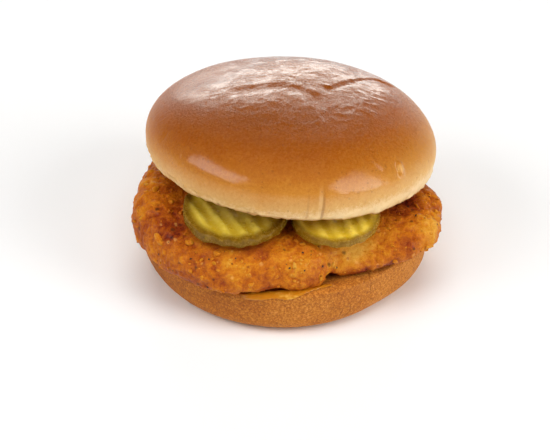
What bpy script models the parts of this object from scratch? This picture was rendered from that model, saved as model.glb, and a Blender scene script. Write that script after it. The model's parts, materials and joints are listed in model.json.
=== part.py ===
"""Chicken burger: a soft round bun with a breaded chicken fillet and two crinkle-cut pickle slices.

The burger stands on the flat underside of its heel, the bottom half of the bun. The origin is the middle of
that underside, +Z is up and -Y is the front, where the pickles show. The fillet lies on the heel and hangs
over it at the left and the right. The pickles lie on the fillet's front half. The crown, the top half of the
bun, leans back on them: its front edge is held up by the pickles and its back edge sits down on the fillet.
Touching pieces keep a gap of about 0.4 mm. All sizes are in metres and all angles in degrees.
"""

import math

import bmesh
import bpy
from mathutils import Matrix, Vector, noise

# The heel, the bottom half of the bun
HEEL_RADIUS = 0.0552
HEEL_BOTTOM_CORNER = 0.0070
HEEL_HEIGHT = 0.0172
HEEL_FLARE = 0.0004
HEEL_EDGE_CURVE = 0.0010
HEEL_FRONT_SAG = 0.0006
HEEL_CROWNED_EDGE = 0.0026
HEEL_CROWNED_ANGLE = -64.0
HEEL_CROWNED_WIDTH = 26.0
HEEL_SIDE_LEVELS = (0.5, 0.86)
HEEL_CUT_INSETS = (0.007, 0.018, 0.034)

# The crown, the top half of the bun, in its own frame with its cut face at height 0
CROWN_RADIUS = 0.0546
CROWN_CUT_RADIUS = 0.0526
CROWN_WIDEST_HEIGHT = 0.0072
CROWN_HEIGHT = 0.0300
CROWN_FULLNESS = 1.92
CROWN_CENTRE = Vector((0.0022, 0.0062, 0.0400))
CROWN_LEAN_BACK = 5.4
CROWN_LEAN_RIGHT = 4.3
CROWN_SUNK_SHOULDER = 0.0040
CROWN_SUNK_ANGLE = 150.0
CROWN_SUNK_RADIUS = 0.0370
CROWN_SUNK_SPREAD = 0.0240
CROWN_CUT_INSETS = (0.034, 0.016, 0.004)

# The fillet
FILLET_CENTRE = Vector((0.0010, -0.0021))
FILLET_TOP = 0.0380
FILLET_FRONT_FALL = 0.105
FILLET_LEVEL_BEHIND = -0.0121
FILLET_SIDE_FALL = 0.045
FILLET_TOP_SHARPNESS = 8.5
FILLET_UNDER_SHARPNESS = 10.0
FILLET_LUMP = 0.0009
FILLET_LUMP_SIZE = 0.0120
FILLET_HANG_START = 0.0008
FILLET_HANG_END = 0.0060
FILLET_LIFT_INSET = 0.0120
FILLET_UNDER_LEVELS = (0.30, 0.62, 0.84, 0.93, 0.98)
FILLET_UPPER_LEVELS = (0.985, 0.955, 0.915, 0.865, 0.81, 0.75, 0.68, 0.60, 0.52, 0.43, 0.33, 0.22, 0.11)
PICKLE_BED_MARGIN = 0.0030
PICKLE_BED_SLOPE = 0.0060

# The pickles: (name, middle of the underside, radius, forward tilt, turn of the ridges)
PICKLE_THICKNESS = 0.0045
PICKLE_RIDGE = 0.0008
PICKLE_PITCH = 0.0066
PICKLE_BULGE = 0.0005
PICKLE_RIM_INSET = 0.0006
PICKLE_COLUMNS = 56
PICKLE_END_ANGLE = 86.0
PICKLES = (
    ("pickle_left", Vector((-0.0172, -0.0312, 0.0360)), 0.0192, 6.0, 27.0),
    ("pickle_right", Vector((0.0186, -0.0328, 0.0346)), 0.0160, 3.6, 22.0),
)

TOUCHING_GAP = 0.0004
SEGMENTS = 64
FILLET_SEGMENTS = 80
SMOOTH_BELOW_ANGLE = 40.0

# The heel's outline seen from above: angle from +X and radius
HEEL_OUTLINE = (
    (-150.0, 0.0540),
    (-120.0, 0.0552),
    (-90.0, 0.0557),
    (-70.0, 0.0552),
    (-48.0, 0.0540),
    (-25.0, 0.0556),
    (0.0, 0.0557),
    (40.0, 0.0549),
    (90.0, 0.0553),
    (135.0, 0.0546),
    (180.0, 0.0548),
)

# The fillet's outline seen from above: angle from +X, radius from its centre, height of its widest level and
# how far its underside hangs below the heel's cut face once past the heel's edge
FILLET_OUTLINE = (
    (-176.0, 0.0563, 0.0290, 0.0010),
    (-165.0, 0.0594, 0.0280, 0.0020),
    (-156.0, 0.0622, 0.0265, 0.0030),
    (-143.0, 0.0620, 0.0240, 0.0040),
    (-128.0, 0.0608, 0.0220, 0.0035),
    (-113.0, 0.0592, 0.0208, 0.0025),
    (-99.0, 0.0543, 0.0205, 0.0010),
    (-88.0, 0.0518, 0.0218, 0.0),
    (-79.0, 0.0514, 0.0225, 0.0),
    (-70.0, 0.0470, 0.0228, 0.0),
    (-60.0, 0.0480, 0.0230, 0.0),
    (-46.0, 0.0516, 0.0240, 0.0),
    (-34.0, 0.0598, 0.0252, -0.0010),
    (-25.0, 0.0634, 0.0253, -0.0012),
    (-17.0, 0.0600, 0.0258, -0.0014),
    (-9.0, 0.0603, 0.0264, -0.0014),
    (4.0, 0.0530, 0.0270, -0.0010),
    (30.0, 0.0515, 0.0270, 0.0),
    (62.0, 0.0545, 0.0260, 0.0),
    (95.0, 0.0555, 0.0260, 0.0010),
    (124.0, 0.0580, 0.0265, 0.0020),
    (150.0, 0.0545, 0.0280, 0.0),
    (171.0, 0.0540, 0.0290, 0.0),
)


def smoothstep(low, high, value):
    """0 below low, 1 above high, and a smooth rise between them."""
    share = min(1.0, max(0.0, (value - low) / (high - low)))
    return share * share * (3.0 - 2.0 * share)


def angle_between(a, b):
    """The smaller angle between two directions."""
    return abs((a - b + 180.0) % 360.0 - 180.0)


def around(points, angle):
    """The values of a closed outline at an angle, on a smooth curve through its points."""
    turned = [((p[0] - angle) % 360.0, p[1:]) for p in points]
    after = min(range(len(turned)), key=lambda i: turned[i][0])
    before, two_before, two_after = after - 1, after - 2, (after + 1) % len(turned)
    gap = (turned[after][0] - turned[before][0]) % 360.0
    share = 1.0 - turned[after][0] / gap
    values = []
    for a, b, c, d in zip(turned[two_before][1], turned[before][1], turned[after][1], turned[two_after][1]):
        values.append(
            b
            + 0.5 * share * (c - a + share * (2 * a - 5 * b + 4 * c - d + share * (3 * (b - c) + d - a)))
        )
    return values


def near_angle(angle, middle, width):
    """1 at the middle angle, falling smoothly to 0 on both sides of it."""
    return math.exp(-((angle_between(angle, middle) / width) ** 2))


def heel_radius(angle):
    """The heel's radius at an angle: nearly round, with softly pressed sides."""
    return around(HEEL_OUTLINE, angle)[0]


def heel_top(x, y):
    """The height of the heel's cut face, which is crowned at one stretch of its edge."""
    angle = math.degrees(math.atan2(y, x))
    stretch = near_angle(angle, HEEL_CROWNED_ANGLE, HEEL_CROWNED_WIDTH)
    rise = smoothstep(0.7 * HEEL_RADIUS, HEEL_RADIUS, math.hypot(x, y)) * stretch * HEEL_CROWNED_EDGE
    return HEEL_HEIGHT + rise - smoothstep(0.0, HEEL_RADIUS, -y) * HEEL_FRONT_SAG


def crown_matrix():
    """From the crown's own frame to its leaning place."""
    lean_back = Matrix.Rotation(math.radians(-CROWN_LEAN_BACK), 4, "X")
    lean_right = Matrix.Rotation(math.radians(CROWN_LEAN_RIGHT), 4, "Y")
    return Matrix.Translation(CROWN_CENTRE) @ lean_right @ lean_back


def plane_height(matrix, x, y):
    """The height at x, y of a matrix's own XY plane."""
    normal = matrix.to_3x3() @ Vector((0.0, 0.0, 1.0))
    origin = matrix.translation
    return origin.z - (normal.x * (x - origin.x) + normal.y * (y - origin.y)) / normal.z


def pickle_matrix(middle, tilt, turn):
    """From a pickle's own frame, with ridges along Y and its underside at height 0, to its place."""
    tilted = Matrix.Rotation(math.radians(tilt), 4, "X")
    turned = Matrix.Rotation(math.radians(turn), 4, "Z")
    return Matrix.Translation(middle) @ tilted @ turned


def fillet_top(x, y):
    """The height of the fillet's upper side, kept clear of the pickles and the crown that lie on it."""
    height = FILLET_TOP - FILLET_FRONT_FALL * max(0.0, FILLET_LEVEL_BEHIND - y) - FILLET_SIDE_FALL * x
    height += FILLET_LUMP * noise.noise(Vector((x, y, 0.0)) / FILLET_LUMP_SIZE) * 2.0
    for _, middle, radius, tilt, turn in PICKLES:
        past_bed = math.hypot(x - middle.x, y - middle.y) - radius - PICKLE_BED_MARGIN
        bed = plane_height(pickle_matrix(middle, tilt, turn), x, y) - TOUCHING_GAP
        height -= max(0.0, height - bed) * (1.0 - smoothstep(0.0, PICKLE_BED_SLOPE, past_bed))
    return min(height, plane_height(crown_matrix(), x, y) - TOUCHING_GAP)


def material(name, colour, roughness):
    """A plain Principled material."""
    made = bpy.data.materials.new(name)
    made.use_nodes = True
    shader = made.node_tree.nodes["Principled BSDF"]
    shader.inputs["Base Color"].default_value = (*colour, 1.0)
    shader.inputs["Roughness"].default_value = roughness
    shader.inputs["Metallic"].default_value = 0.0
    return made


def body_of_rings(name, rings, finish, close_to_points):
    """A closed body skinned over rings of equal length, given from the bottom up.

    The ends close to a middle point each, or to one flat face each where close_to_points is False.
    """
    mesh = bmesh.new()
    loops = [[mesh.verts.new(point) for point in ring] for ring in rings]
    count = len(loops[0])
    for lower, upper in zip(loops, loops[1:]):
        for i in range(count):
            j = (i + 1) % count
            mesh.faces.new((lower[i], lower[j], upper[j], upper[i]))
    for loop, outwards_down in ((loops[0], True), (loops[-1], False)):
        order = list(reversed(loop)) if outwards_down else loop
        if close_to_points:
            middle = mesh.verts.new(sum((v.co for v in loop), Vector()) / count)
            for i in range(count):
                mesh.faces.new((order[i], order[(i + 1) % count], middle))
        else:
            mesh.faces.new(order)
    data = bpy.data.meshes.new(name)
    mesh.to_mesh(data)
    mesh.free()
    data.shade_smooth()
    data.set_sharp_from_angle(angle=math.radians(SMOOTH_BELOW_ANGLE))
    data.materials.append(finish)
    made = bpy.data.objects.new(name, data)
    bpy.context.scene.collection.objects.link(made)
    return made


def directions(count):
    """Evenly spaced angles all the way round."""
    return [360.0 * i / count for i in range(count)]


def polar(radius, angle):
    """The x and y of a point at a radius and an angle."""
    return radius * math.cos(math.radians(angle)), radius * math.sin(math.radians(angle))


def build_heel():
    """The heel: a flat foot, a round bottom corner, a steep side and a nearly flat cut face."""
    angles = directions(SEGMENTS)
    rings = [[Vector((*polar(HEEL_RADIUS / 2.0, angle), 0.0)) for angle in angles]]
    corner_steps = 6
    for step in range(corner_steps + 1):
        turn = math.radians(90.0 * step / corner_steps)
        inset = HEEL_BOTTOM_CORNER * (1.0 - math.sin(turn))
        height = HEEL_BOTTOM_CORNER * (1.0 - math.cos(turn))
        rings.append([Vector((*polar(heel_radius(angle) - inset, angle), height)) for angle in angles])
    for level in HEEL_SIDE_LEVELS:
        ring = []
        for angle in angles:
            x, y = polar(heel_radius(angle) + HEEL_FLARE, angle)
            ring.append(Vector((x, y, HEEL_BOTTOM_CORNER + level * (heel_top(x, y) - HEEL_BOTTOM_CORNER))))
        rings.append(ring)
    edge = [(0.0, HEEL_EDGE_CURVE / 2.0), (HEEL_EDGE_CURVE, 0.0)]
    for inset, drop in edge + [(inset, 0.0) for inset in HEEL_CUT_INSETS]:
        ring = []
        for angle in angles:
            x, y = polar(heel_radius(angle) - inset, angle)
            ring.append(Vector((x, y, heel_top(x, y) - drop)))
        rings.append(ring)
    return body_of_rings("bun_heel", rings, material("heel_crust", (0.60, 0.33, 0.12), 0.7), True)


def crown_profile():
    """The crown's outline, (radius, height) from the cut face up to near its top."""
    points = []
    edge_steps = 5
    for step in range(edge_steps + 1):
        turn = math.radians(90.0 * step / edge_steps)
        radius = CROWN_CUT_RADIUS + (CROWN_RADIUS - CROWN_CUT_RADIUS) * math.sin(turn)
        points.append((radius, CROWN_WIDEST_HEIGHT * (1.0 - math.cos(turn))))
    rise = CROWN_HEIGHT - CROWN_WIDEST_HEIGHT
    power = 2.0 / CROWN_FULLNESS
    dome_steps = 14
    for step in range(1, dome_steps + 1):
        turn = math.radians(87.0 * step / dome_steps)
        radius = CROWN_RADIUS * math.cos(turn) ** power
        points.append((radius, CROWN_WIDEST_HEIGHT + rise * math.sin(turn) ** power))
    return points


def build_crown():
    """The crown: a flat cut face under a wide, low dome, leaning back and a little to the right."""
    place = crown_matrix()
    sunk_middle = Vector(polar(CROWN_SUNK_RADIUS, CROWN_SUNK_ANGLE))
    rings = []
    for inset in CROWN_CUT_INSETS:
        radius = CROWN_CUT_RADIUS - inset
        rings.append([place @ Vector((*polar(radius, angle), 0.0)) for angle in directions(SEGMENTS)])
    for radius, height in crown_profile():
        ring = []
        for angle in directions(SEGMENTS):
            point = Vector(polar(radius, angle))
            sunk = math.exp(-(((point - sunk_middle).length / CROWN_SUNK_SPREAD) ** 2))
            sunk *= smoothstep(CROWN_WIDEST_HEIGHT, CROWN_HEIGHT, height)
            ring.append(place @ Vector((*point, height - CROWN_SUNK_SHOULDER * sunk)))
        rings.append(ring)
    return body_of_rings("bun_crown", rings, material("crown_crust", (0.52, 0.21, 0.04), 0.35), True)


def fillet_ring(share, height_of):
    """One level of the fillet: its outline drawn in to a share of its radius, at heights from height_of."""
    ring = []
    for angle in directions(FILLET_SEGMENTS):
        radius, widest, hang = around(FILLET_OUTLINE, angle)
        x, y = Vector(polar(radius * share, angle)) + FILLET_CENTRE
        ring.append(Vector((x, y, height_of(x, y, widest, hang, share))))
    return ring


def fillet_under(x, y, widest, hang, share):
    """The height of the fillet's underside: it lies on the heel, and hangs or lifts past the heel's edge."""
    reach = math.hypot(x, y) - HEEL_RADIUS
    if hang > 0.0:
        past_edge = smoothstep(FILLET_HANG_START, FILLET_HANG_END, reach)
    else:
        past_edge = smoothstep(-FILLET_LIFT_INSET, 0.0, reach)
    flat = heel_top(x, y) + TOUCHING_GAP - past_edge * hang
    return widest - (widest - flat) * math.sqrt(1.0 - share**FILLET_UNDER_SHARPNESS)


def fillet_upper(x, y, widest, hang, share):
    """The height of the fillet's upper side, which rounds down to its widest level at the outline."""
    return widest + (fillet_top(x, y) - widest) * math.sqrt(1.0 - share**FILLET_TOP_SHARPNESS)


def build_fillet():
    """The fillet: an uneven outline, a lumpy upper side and an underside that follows the heel."""
    rings = [fillet_ring(level, fillet_under) for level in FILLET_UNDER_LEVELS]
    rings.append(fillet_ring(1.0, fillet_upper))
    rings += [fillet_ring(level, fillet_upper) for level in FILLET_UPPER_LEVELS]
    return body_of_rings("chicken_fillet", rings, material("fried_crumb", (0.62, 0.25, 0.04), 0.6), True)


def build_pickle(name, middle, radius, tilt, turn):
    """One crinkle-cut slice: a disc whose two faces are ridged alike, with a slightly bulging rim."""
    place = pickle_matrix(middle, tilt, turn)
    rings = []
    for step in range(PICKLE_COLUMNS + 1):
        across = math.radians(PICKLE_END_ANGLE * (2.0 * step / PICKLE_COLUMNS - 1.0))
        x = radius * math.sin(across)
        half = radius * math.cos(across)
        wave = PICKLE_RIDGE * math.sin(2.0 * math.pi * x / PICKLE_PITCH)
        low = PICKLE_RIDGE + wave
        high = PICKLE_THICKNESS - PICKLE_RIDGE + wave
        rim = (low + high) / 2.0
        bulge = half + PICKLE_BULGE * math.cos(across)
        flat = max(half - PICKLE_RIM_INSET, 0.4 * half)
        section = ((-flat, low), (flat, low), (bulge, rim), (flat, high), (-flat, high), (-bulge, rim))
        rings.append([place @ Vector((x, y, z)) for y, z in section])
    return body_of_rings(name, rings, material(name + "_flesh", (0.52, 0.47, 0.08), 0.3), False)


def main():
    """Clears the scene and builds the five pieces."""
    for old in list(bpy.data.objects):
        bpy.data.objects.remove(old)
    build_heel()
    build_fillet()
    for name, middle, radius, tilt, turn in PICKLES:
        build_pickle(name, middle, radius, tilt, turn)
    build_crown()


main()
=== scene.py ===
"""Chicken burger, dressed for the studio.

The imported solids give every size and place. Around them this script models the bun's two halves, the breaded
fillet with its loose crumbs and pepper, the two crinkle-cut pickle slices and the butter that melts out over
the heel, and gives each its finish. Lengths are in metres, angles in degrees, and +Z is up.
"""

import json
import logging
import math
import random
from dataclasses import dataclass, field
from enum import Enum
from typing import Callable, NamedTuple, Optional, Sequence

import bmesh
import bpy
import numpy as np
from mathutils import Euler, Matrix, Vector

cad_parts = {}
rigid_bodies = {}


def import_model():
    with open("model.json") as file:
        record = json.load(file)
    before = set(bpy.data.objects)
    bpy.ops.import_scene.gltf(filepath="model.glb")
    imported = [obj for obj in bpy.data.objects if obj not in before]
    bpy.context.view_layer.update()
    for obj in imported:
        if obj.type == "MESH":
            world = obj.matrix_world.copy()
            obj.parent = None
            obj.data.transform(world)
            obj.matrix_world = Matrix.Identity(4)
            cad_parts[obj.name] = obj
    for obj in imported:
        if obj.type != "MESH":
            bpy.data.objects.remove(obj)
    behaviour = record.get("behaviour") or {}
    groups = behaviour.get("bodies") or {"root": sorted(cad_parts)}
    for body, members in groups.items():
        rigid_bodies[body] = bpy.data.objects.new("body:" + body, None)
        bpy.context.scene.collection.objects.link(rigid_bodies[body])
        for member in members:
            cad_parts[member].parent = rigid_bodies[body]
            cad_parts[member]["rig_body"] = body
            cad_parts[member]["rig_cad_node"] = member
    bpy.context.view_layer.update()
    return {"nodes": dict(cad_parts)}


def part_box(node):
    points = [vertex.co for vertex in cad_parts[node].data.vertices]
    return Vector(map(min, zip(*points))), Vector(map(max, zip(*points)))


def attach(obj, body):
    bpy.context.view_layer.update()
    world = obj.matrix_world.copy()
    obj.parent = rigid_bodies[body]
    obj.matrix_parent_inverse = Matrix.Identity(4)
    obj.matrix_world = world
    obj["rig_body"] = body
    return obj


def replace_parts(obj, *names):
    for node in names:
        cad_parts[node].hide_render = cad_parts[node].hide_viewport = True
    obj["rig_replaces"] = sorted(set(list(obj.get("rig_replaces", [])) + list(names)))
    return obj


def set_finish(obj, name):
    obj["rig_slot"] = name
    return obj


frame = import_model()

log = logging.getLogger("chicken_burger")

Colour = tuple[float, float, float]
Place = tuple[float, float, float]
Rise = tuple[float, float]  # where a weight is 0, and where it has grown to 1
Stops = tuple[tuple[float, Colour], ...]
Test = Callable[[Vector, Vector], bool]
Weight = Callable[[Vector], float]
Socket = bpy.types.NodeSocket
BODY = "root"
UP = Vector((0.0, 0.0, 1.0))

# How near counts as touching, how upright a normal counts as straight, and a height above the whole burger.
CLOSE = 1e-5
STRAIGHT = 0.999
ABOVE = 0.2


class Slot(Enum):
    """The record's material slots."""

    HEEL = "heel_crust"
    CROWN = "crown_crust"
    FILLET = "fried_crumb"
    PICKLE = "pickle"


class Texture(Enum):
    """The procedural patterns that relief is pressed in with."""

    CLOUDY = "CLOUDS"
    RIDGED = "MUSGRAVE"
    CELLS = "VORONOI"


class Fade(NamedTuple):
    """A smooth change of a finish: from first, where a value is at start, to last, where it is at end."""

    start: float
    end: float
    first: float = 0.0
    last: float = 1.0


def shade(red: int, green: int, blue: int) -> Colour:
    """Turns a colour as seen on a screen, 0 to 255, into the linear values that shaders use.

    Args:
        red: The red value.
        green: The green value.
        blue: The blue value.

    Returns:
        The linear colour.
    """
    values = (value / 255.0 for value in (red, green, blue))
    return tuple(v / 12.92 if v <= 0.04045 else ((v + 0.055) / 1.055) ** 2.4 for v in values)


def smoothstep(low: float, high: float, value: float) -> float:
    """A smooth rise from 0 at low to 1 at high.

    Args:
        low: Where the rise starts.
        high: Where it ends.
        value: Where it is read.

    Returns:
        A share from 0 to 1.
    """
    share = min(1.0, max(0.0, (value - low) / (high - low)))
    return share * share * (3.0 - 2.0 * share)


def bell(distance: float, reach: float) -> float:
    """1 at no distance, falling smoothly and nearly to 0 at twice the reach."""
    return math.exp(-((distance / reach) ** 2))


def to_segment(point: Vector, start: Vector, end: Vector) -> float:
    """The distance from a point to a straight stretch, which may be a single point.

    Args:
        point: The point.
        start: The stretch's first end.
        end: Its other end.

    Returns:
        The distance.
    """
    along = end - start
    share = min(1.0, max(0.0, (point - start).dot(along) / (along.length_squared or 1.0)))
    return (point - start - along * share).length


# ---------------------------------------------------------------------------------------------------------
# Modelling tools


def clear_selection() -> None:
    """Leaves nothing selected, in object mode, so that the next primitive stands alone."""
    if bpy.context.object is not None and bpy.context.object.mode != "OBJECT":
        bpy.ops.object.mode_set(mode="OBJECT")
    bpy.ops.object.select_all(action="DESELECT")


def focus(piece: bpy.types.Object) -> None:
    """Leaves one object selected and active, in object mode.

    Args:
        piece: The object.
    """
    clear_selection()
    piece.hide_viewport = False
    piece.select_set(True)
    bpy.context.view_layer.objects.active = piece


def named(name: str) -> bpy.types.Object:
    """Names the primitive or copy that was just made, and its mesh.

    Args:
        name: The new name.

    Returns:
        The object.
    """
    piece = bpy.context.object
    piece.name = piece.data.name = name
    return piece


def settle(piece: bpy.types.Object, place: Matrix) -> None:
    """Moves a piece to its place and applies that, so that its object stays at the origin.

    Args:
        piece: The piece, modelled about the origin.
        place: Where it goes.
    """
    focus(piece)
    piece.matrix_world = place
    bpy.ops.object.transform_apply(location=True, rotation=True, scale=True)


def finish_with(piece: bpy.types.Object, kind: str, **settings: object) -> None:
    """Adds a modifier, sets it and applies it.

    Args:
        piece: The piece it works on.
        kind: Blender's name for the modifier.
        **settings: The modifier's own settings.
    """
    focus(piece)
    modifier = piece.modifiers.new(kind.lower(), kind)
    for setting, value in settings.items():
        setattr(modifier, setting, value)
    bpy.ops.object.modifier_apply(modifier=modifier.name)


def subdivide_smoothly(piece: bpy.types.Object, levels: int) -> None:
    """Applies a Subdivision Surface of some levels."""
    finish_with(piece, "SUBSURF", levels=levels, render_levels=levels)


def paint(piece: bpy.types.Object, group: str, weight_of: Weight) -> None:
    """Paints a vertex group over a piece.

    Args:
        piece: The piece.
        group: The group's name.
        weight_of: The weight at a point, from 0 to 1.
    """
    weights = piece.vertex_groups.new(name=group)
    for vertex in piece.data.vertices:
        weights.add([vertex.index], weight_of(vertex.co), "REPLACE")


def press(piece: bpy.types.Object, amount: float, weight_of: Weight) -> None:
    """Pushes part of a surface out along its normals, or in where the amount is negative.

    Args:
        piece: The piece.
        amount: How far, where the weight is 1.
        weight_of: The weight at a point, from 0 to 1.
    """
    paint(piece, "press", weight_of)
    finish_with(piece, "DISPLACE", strength=amount, mid_level=0.0, vertex_group="press")
    piece.vertex_groups.remove(piece.vertex_groups["press"])


@dataclass(frozen=True)
class Relief:
    """One layer of relief: a procedural pattern that a surface is displaced by, along its normals."""

    texture: Texture
    size: float
    strength: float
    octaves: int = 1
    group: str = ""
    level: float = 0.5
    ridge_contrast: float = 0.6

    def pattern(self) -> bpy.types.Texture:
        """Makes the pattern.

        Returns:
            The texture, with its feature size and detail set.
        """
        pattern = bpy.data.textures.new(self.texture.name.lower(), self.texture.value)
        pattern.noise_scale = self.size
        if self.texture is Texture.CLOUDY:
            pattern.noise_depth = self.octaves
            pattern.noise_basis = "IMPROVED_PERLIN"
        elif self.texture is Texture.RIDGED:
            pattern.musgrave_type = "RIDGED_MULTIFRACTAL"
            pattern.octaves = self.octaves
            pattern.noise_intensity = self.ridge_contrast
        return pattern

    def press_into(self, piece: bpy.types.Object) -> None:
        """Displaces a piece by the pattern, read at the piece's own points.

        Args:
            piece: The piece.
        """
        finish_with(
            piece,
            "DISPLACE",
            texture=self.pattern(),
            texture_coords="LOCAL",
            strength=self.strength,
            mid_level=self.level,
            vertex_group=self.group,
        )


@dataclass(frozen=True)
class Swell:
    """A place where a surface swells, or sinks where the amount is below 0: a point or a straight stretch."""

    amount: float
    reach: float
    start: Sequence[float]
    end: Optional[Sequence[float]] = None

    def press_into(self, piece: bpy.types.Object) -> None:
        """Presses it into a piece.

        Args:
            piece: The piece.
        """
        start = Vector(self.start)
        end = start if self.end is None else Vector(self.end)
        press(piece, self.amount, lambda point: bell(to_segment(point, start, end), self.reach))


def is_level(along: Vector) -> bool:
    """Whether an edge lies level rather than standing up."""
    return abs(along.z) < 0.5


class Shaper:
    """Hand-modelling moves on one mesh, done in edit mode with Blender's own operators."""

    def __init__(self, piece: bpy.types.Object) -> None:
        """Opens a piece for editing.

        Args:
            piece: The piece.
        """
        self.piece = piece
        focus(piece)
        bpy.ops.object.mode_set(mode="EDIT")

    def close(self) -> None:
        """Goes back to object mode."""
        bpy.ops.object.mode_set(mode="OBJECT")

    def choose_faces(self, test: Test) -> None:
        """Selects the faces whose centre and normal pass a test.

        Args:
            test: The test.
        """
        bpy.ops.mesh.select_mode(type="FACE")
        bpy.ops.mesh.select_all(action="DESELECT")
        mesh = bmesh.from_edit_mesh(self.piece.data)
        for face in mesh.faces:
            face.select_set(test(face.calc_center_median(), face.normal))
        bmesh.update_edit_mesh(self.piece.data)

    def choose_edges(self, test: Test) -> None:
        """Selects the edges whose middle and direction pass a test.

        Args:
            test: The test.
        """
        bpy.ops.mesh.select_mode(type="EDGE")
        bpy.ops.mesh.select_all(action="DESELECT")
        mesh = bmesh.from_edit_mesh(self.piece.data)
        for edge in mesh.edges:
            start, end = (vertex.co for vertex in edge.verts)
            edge.select_set(test((start + end) / 2.0, (end - start).normalized()))
        bmesh.update_edit_mesh(self.piece.data)

    def draw_up(self, rings: Sequence[tuple[float, float]]) -> None:
        """Extrudes the chosen cap through rings about the Z axis.

        Args:
            rings: The radius and height of each ring, the first being where the cap is now.
        """
        for (radius, height), (next_radius, next_height) in zip(rings, rings[1:]):
            rise = (0.0, 0.0, next_height - height)
            bpy.ops.mesh.extrude_region_move(TRANSFORM_OT_translate={"value": rise})
            ratio = next_radius / radius
            bpy.ops.transform.resize(value=(ratio, ratio, 1.0), center_override=(0.0, 0.0, next_height))

    def inset(self, *widths: float) -> None:
        """Insets the chosen faces once for each width."""
        for width in widths:
            bpy.ops.mesh.inset(thickness=width)

    def bevel(self, width: float, segments: int) -> None:
        """Rounds the chosen edges."""
        bpy.ops.mesh.bevel(offset=width, segments=segments, affect="EDGES", profile=0.5)

    def move(self, offset: Vector) -> None:
        """Moves what is chosen."""
        bpy.ops.transform.translate(value=offset)

    def merge(self) -> None:
        """Merges all doubled points and turns the loose triangles back into quads where they pair."""
        bpy.ops.mesh.select_all(action="SELECT")
        bpy.ops.mesh.remove_doubles(threshold=1e-6)
        flat, square = math.radians(30.0), math.radians(80.0)
        bpy.ops.mesh.tris_convert_to_quads(face_threshold=flat, shape_threshold=square)

    def face_outwards(self) -> None:
        """Recalculates the normals of the whole mesh."""
        bpy.ops.mesh.select_all(action="SELECT")
        bpy.ops.mesh.normals_make_consistent(inside=False)


def copy_of_node(node: str, name: str) -> bpy.types.Object:
    """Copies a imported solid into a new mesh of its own, merged, for further shaping.

    Args:
        node: The solid's name.
        name: The new piece's name.

    Returns:
        The copy, outside the frame's bodies.
    """
    focus(frame["nodes"][node])
    bpy.ops.object.duplicate(linked=False)
    piece = named(name)
    bpy.ops.object.parent_clear(type="CLEAR_KEEP_TRANSFORM")
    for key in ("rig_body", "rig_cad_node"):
        del piece[key]
    piece.data.materials.clear()
    shaper = Shaper(piece)
    shaper.merge()
    shaper.close()
    return piece


def wrap_onto(piece: bpy.types.Object, node: str) -> None:
    """Draws a new piece's points onto the surface of the solid it stands for."""
    solid = frame["nodes"][node]
    finish_with(piece, "SHRINKWRAP", target=solid, wrap_method="NEAREST_SURFACEPOINT")


def flat_side(node: str, facing: Vector) -> tuple[Vector, Vector]:
    """Finds a solid's flat face on one side.

    Args:
        node: The solid's name.
        facing: Roughly the face's outward normal.

    Returns:
        The face's middle and its normal.
    """
    polygons = frame["nodes"][node].data.polygons
    normal = facing.normalized()
    for spread_deg in (12.0, 4.0, 1.0):
        found = [p for p in polygons if p.normal.dot(normal) > math.cos(math.radians(spread_deg))]
        normal = sum((p.normal * p.area for p in found), Vector()).normalized()
    area = sum(p.area for p in found)
    return sum((p.center * p.area for p in found), Vector()) / area, normal


def upright_at(middle: Vector, up: Vector) -> Matrix:
    """The placing of something modelled upright about the origin onto a leaning base.

    Args:
        middle: Where its origin goes.
        up: Where its Z axis points.

    Returns:
        The placing matrix.
    """
    return Matrix.Translation(middle) @ UP.rotation_difference(up).to_matrix().to_4x4()


def keep_relief(piece: bpy.types.Object, smooth: np.ndarray, normals: np.ndarray, full: float) -> None:
    """Stores how far each point stands above or below the smooth surface it had before its relief.

    Args:
        piece: The piece with its relief.
        smooth: The points before the relief.
        normals: The normals before the relief.
        full: The height that counts as 1.
    """
    points = np.empty(len(piece.data.vertices) * 3, np.float32)
    piece.data.vertices.foreach_get("co", points)
    heights = ((points.reshape(-1, 3) - smooth) * normals).sum(axis=1) / full
    stored = piece.data.attributes.new("relief", "FLOAT", "POINT")
    stored.data.foreach_set("value", heights.clip(-1.0, 1.0).astype(np.float32))


def points_and_normals(piece: bpy.types.Object) -> tuple[np.ndarray, np.ndarray]:
    """A mesh's points and their normals.

    Args:
        piece: The mesh object.

    Returns:
        Two arrays of three columns.
    """
    count = len(piece.data.vertices)
    points, normals = np.empty(count * 3, np.float32), np.empty(count * 3, np.float32)
    piece.data.vertices.foreach_get("co", points)
    piece.data.vertices.foreach_get("normal", normals)
    return points.reshape(-1, 3), normals.reshape(-1, 3)


def hand_over(piece: bpy.types.Object, slot: Slot, finish: bpy.types.Material, *nodes: str) -> None:
    """Gives a finished piece its material, its body and the solids it stands for.

    Args:
        piece: The piece.
        slot: The record's slot that its finish belongs to.
        finish: Its material.
        *nodes: The solids it replaces.
    """
    focus(piece)
    bpy.ops.object.shade_smooth()
    piece.data.materials.clear()
    piece.data.materials.append(finish)
    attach(piece, BODY)
    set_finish(piece, slot.value)
    if nodes:
        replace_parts(piece, *nodes)
    log.info("%s: %d faces", piece.name, len(piece.data.polygons))


# ---------------------------------------------------------------------------------------------------------
# Shading tools


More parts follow.
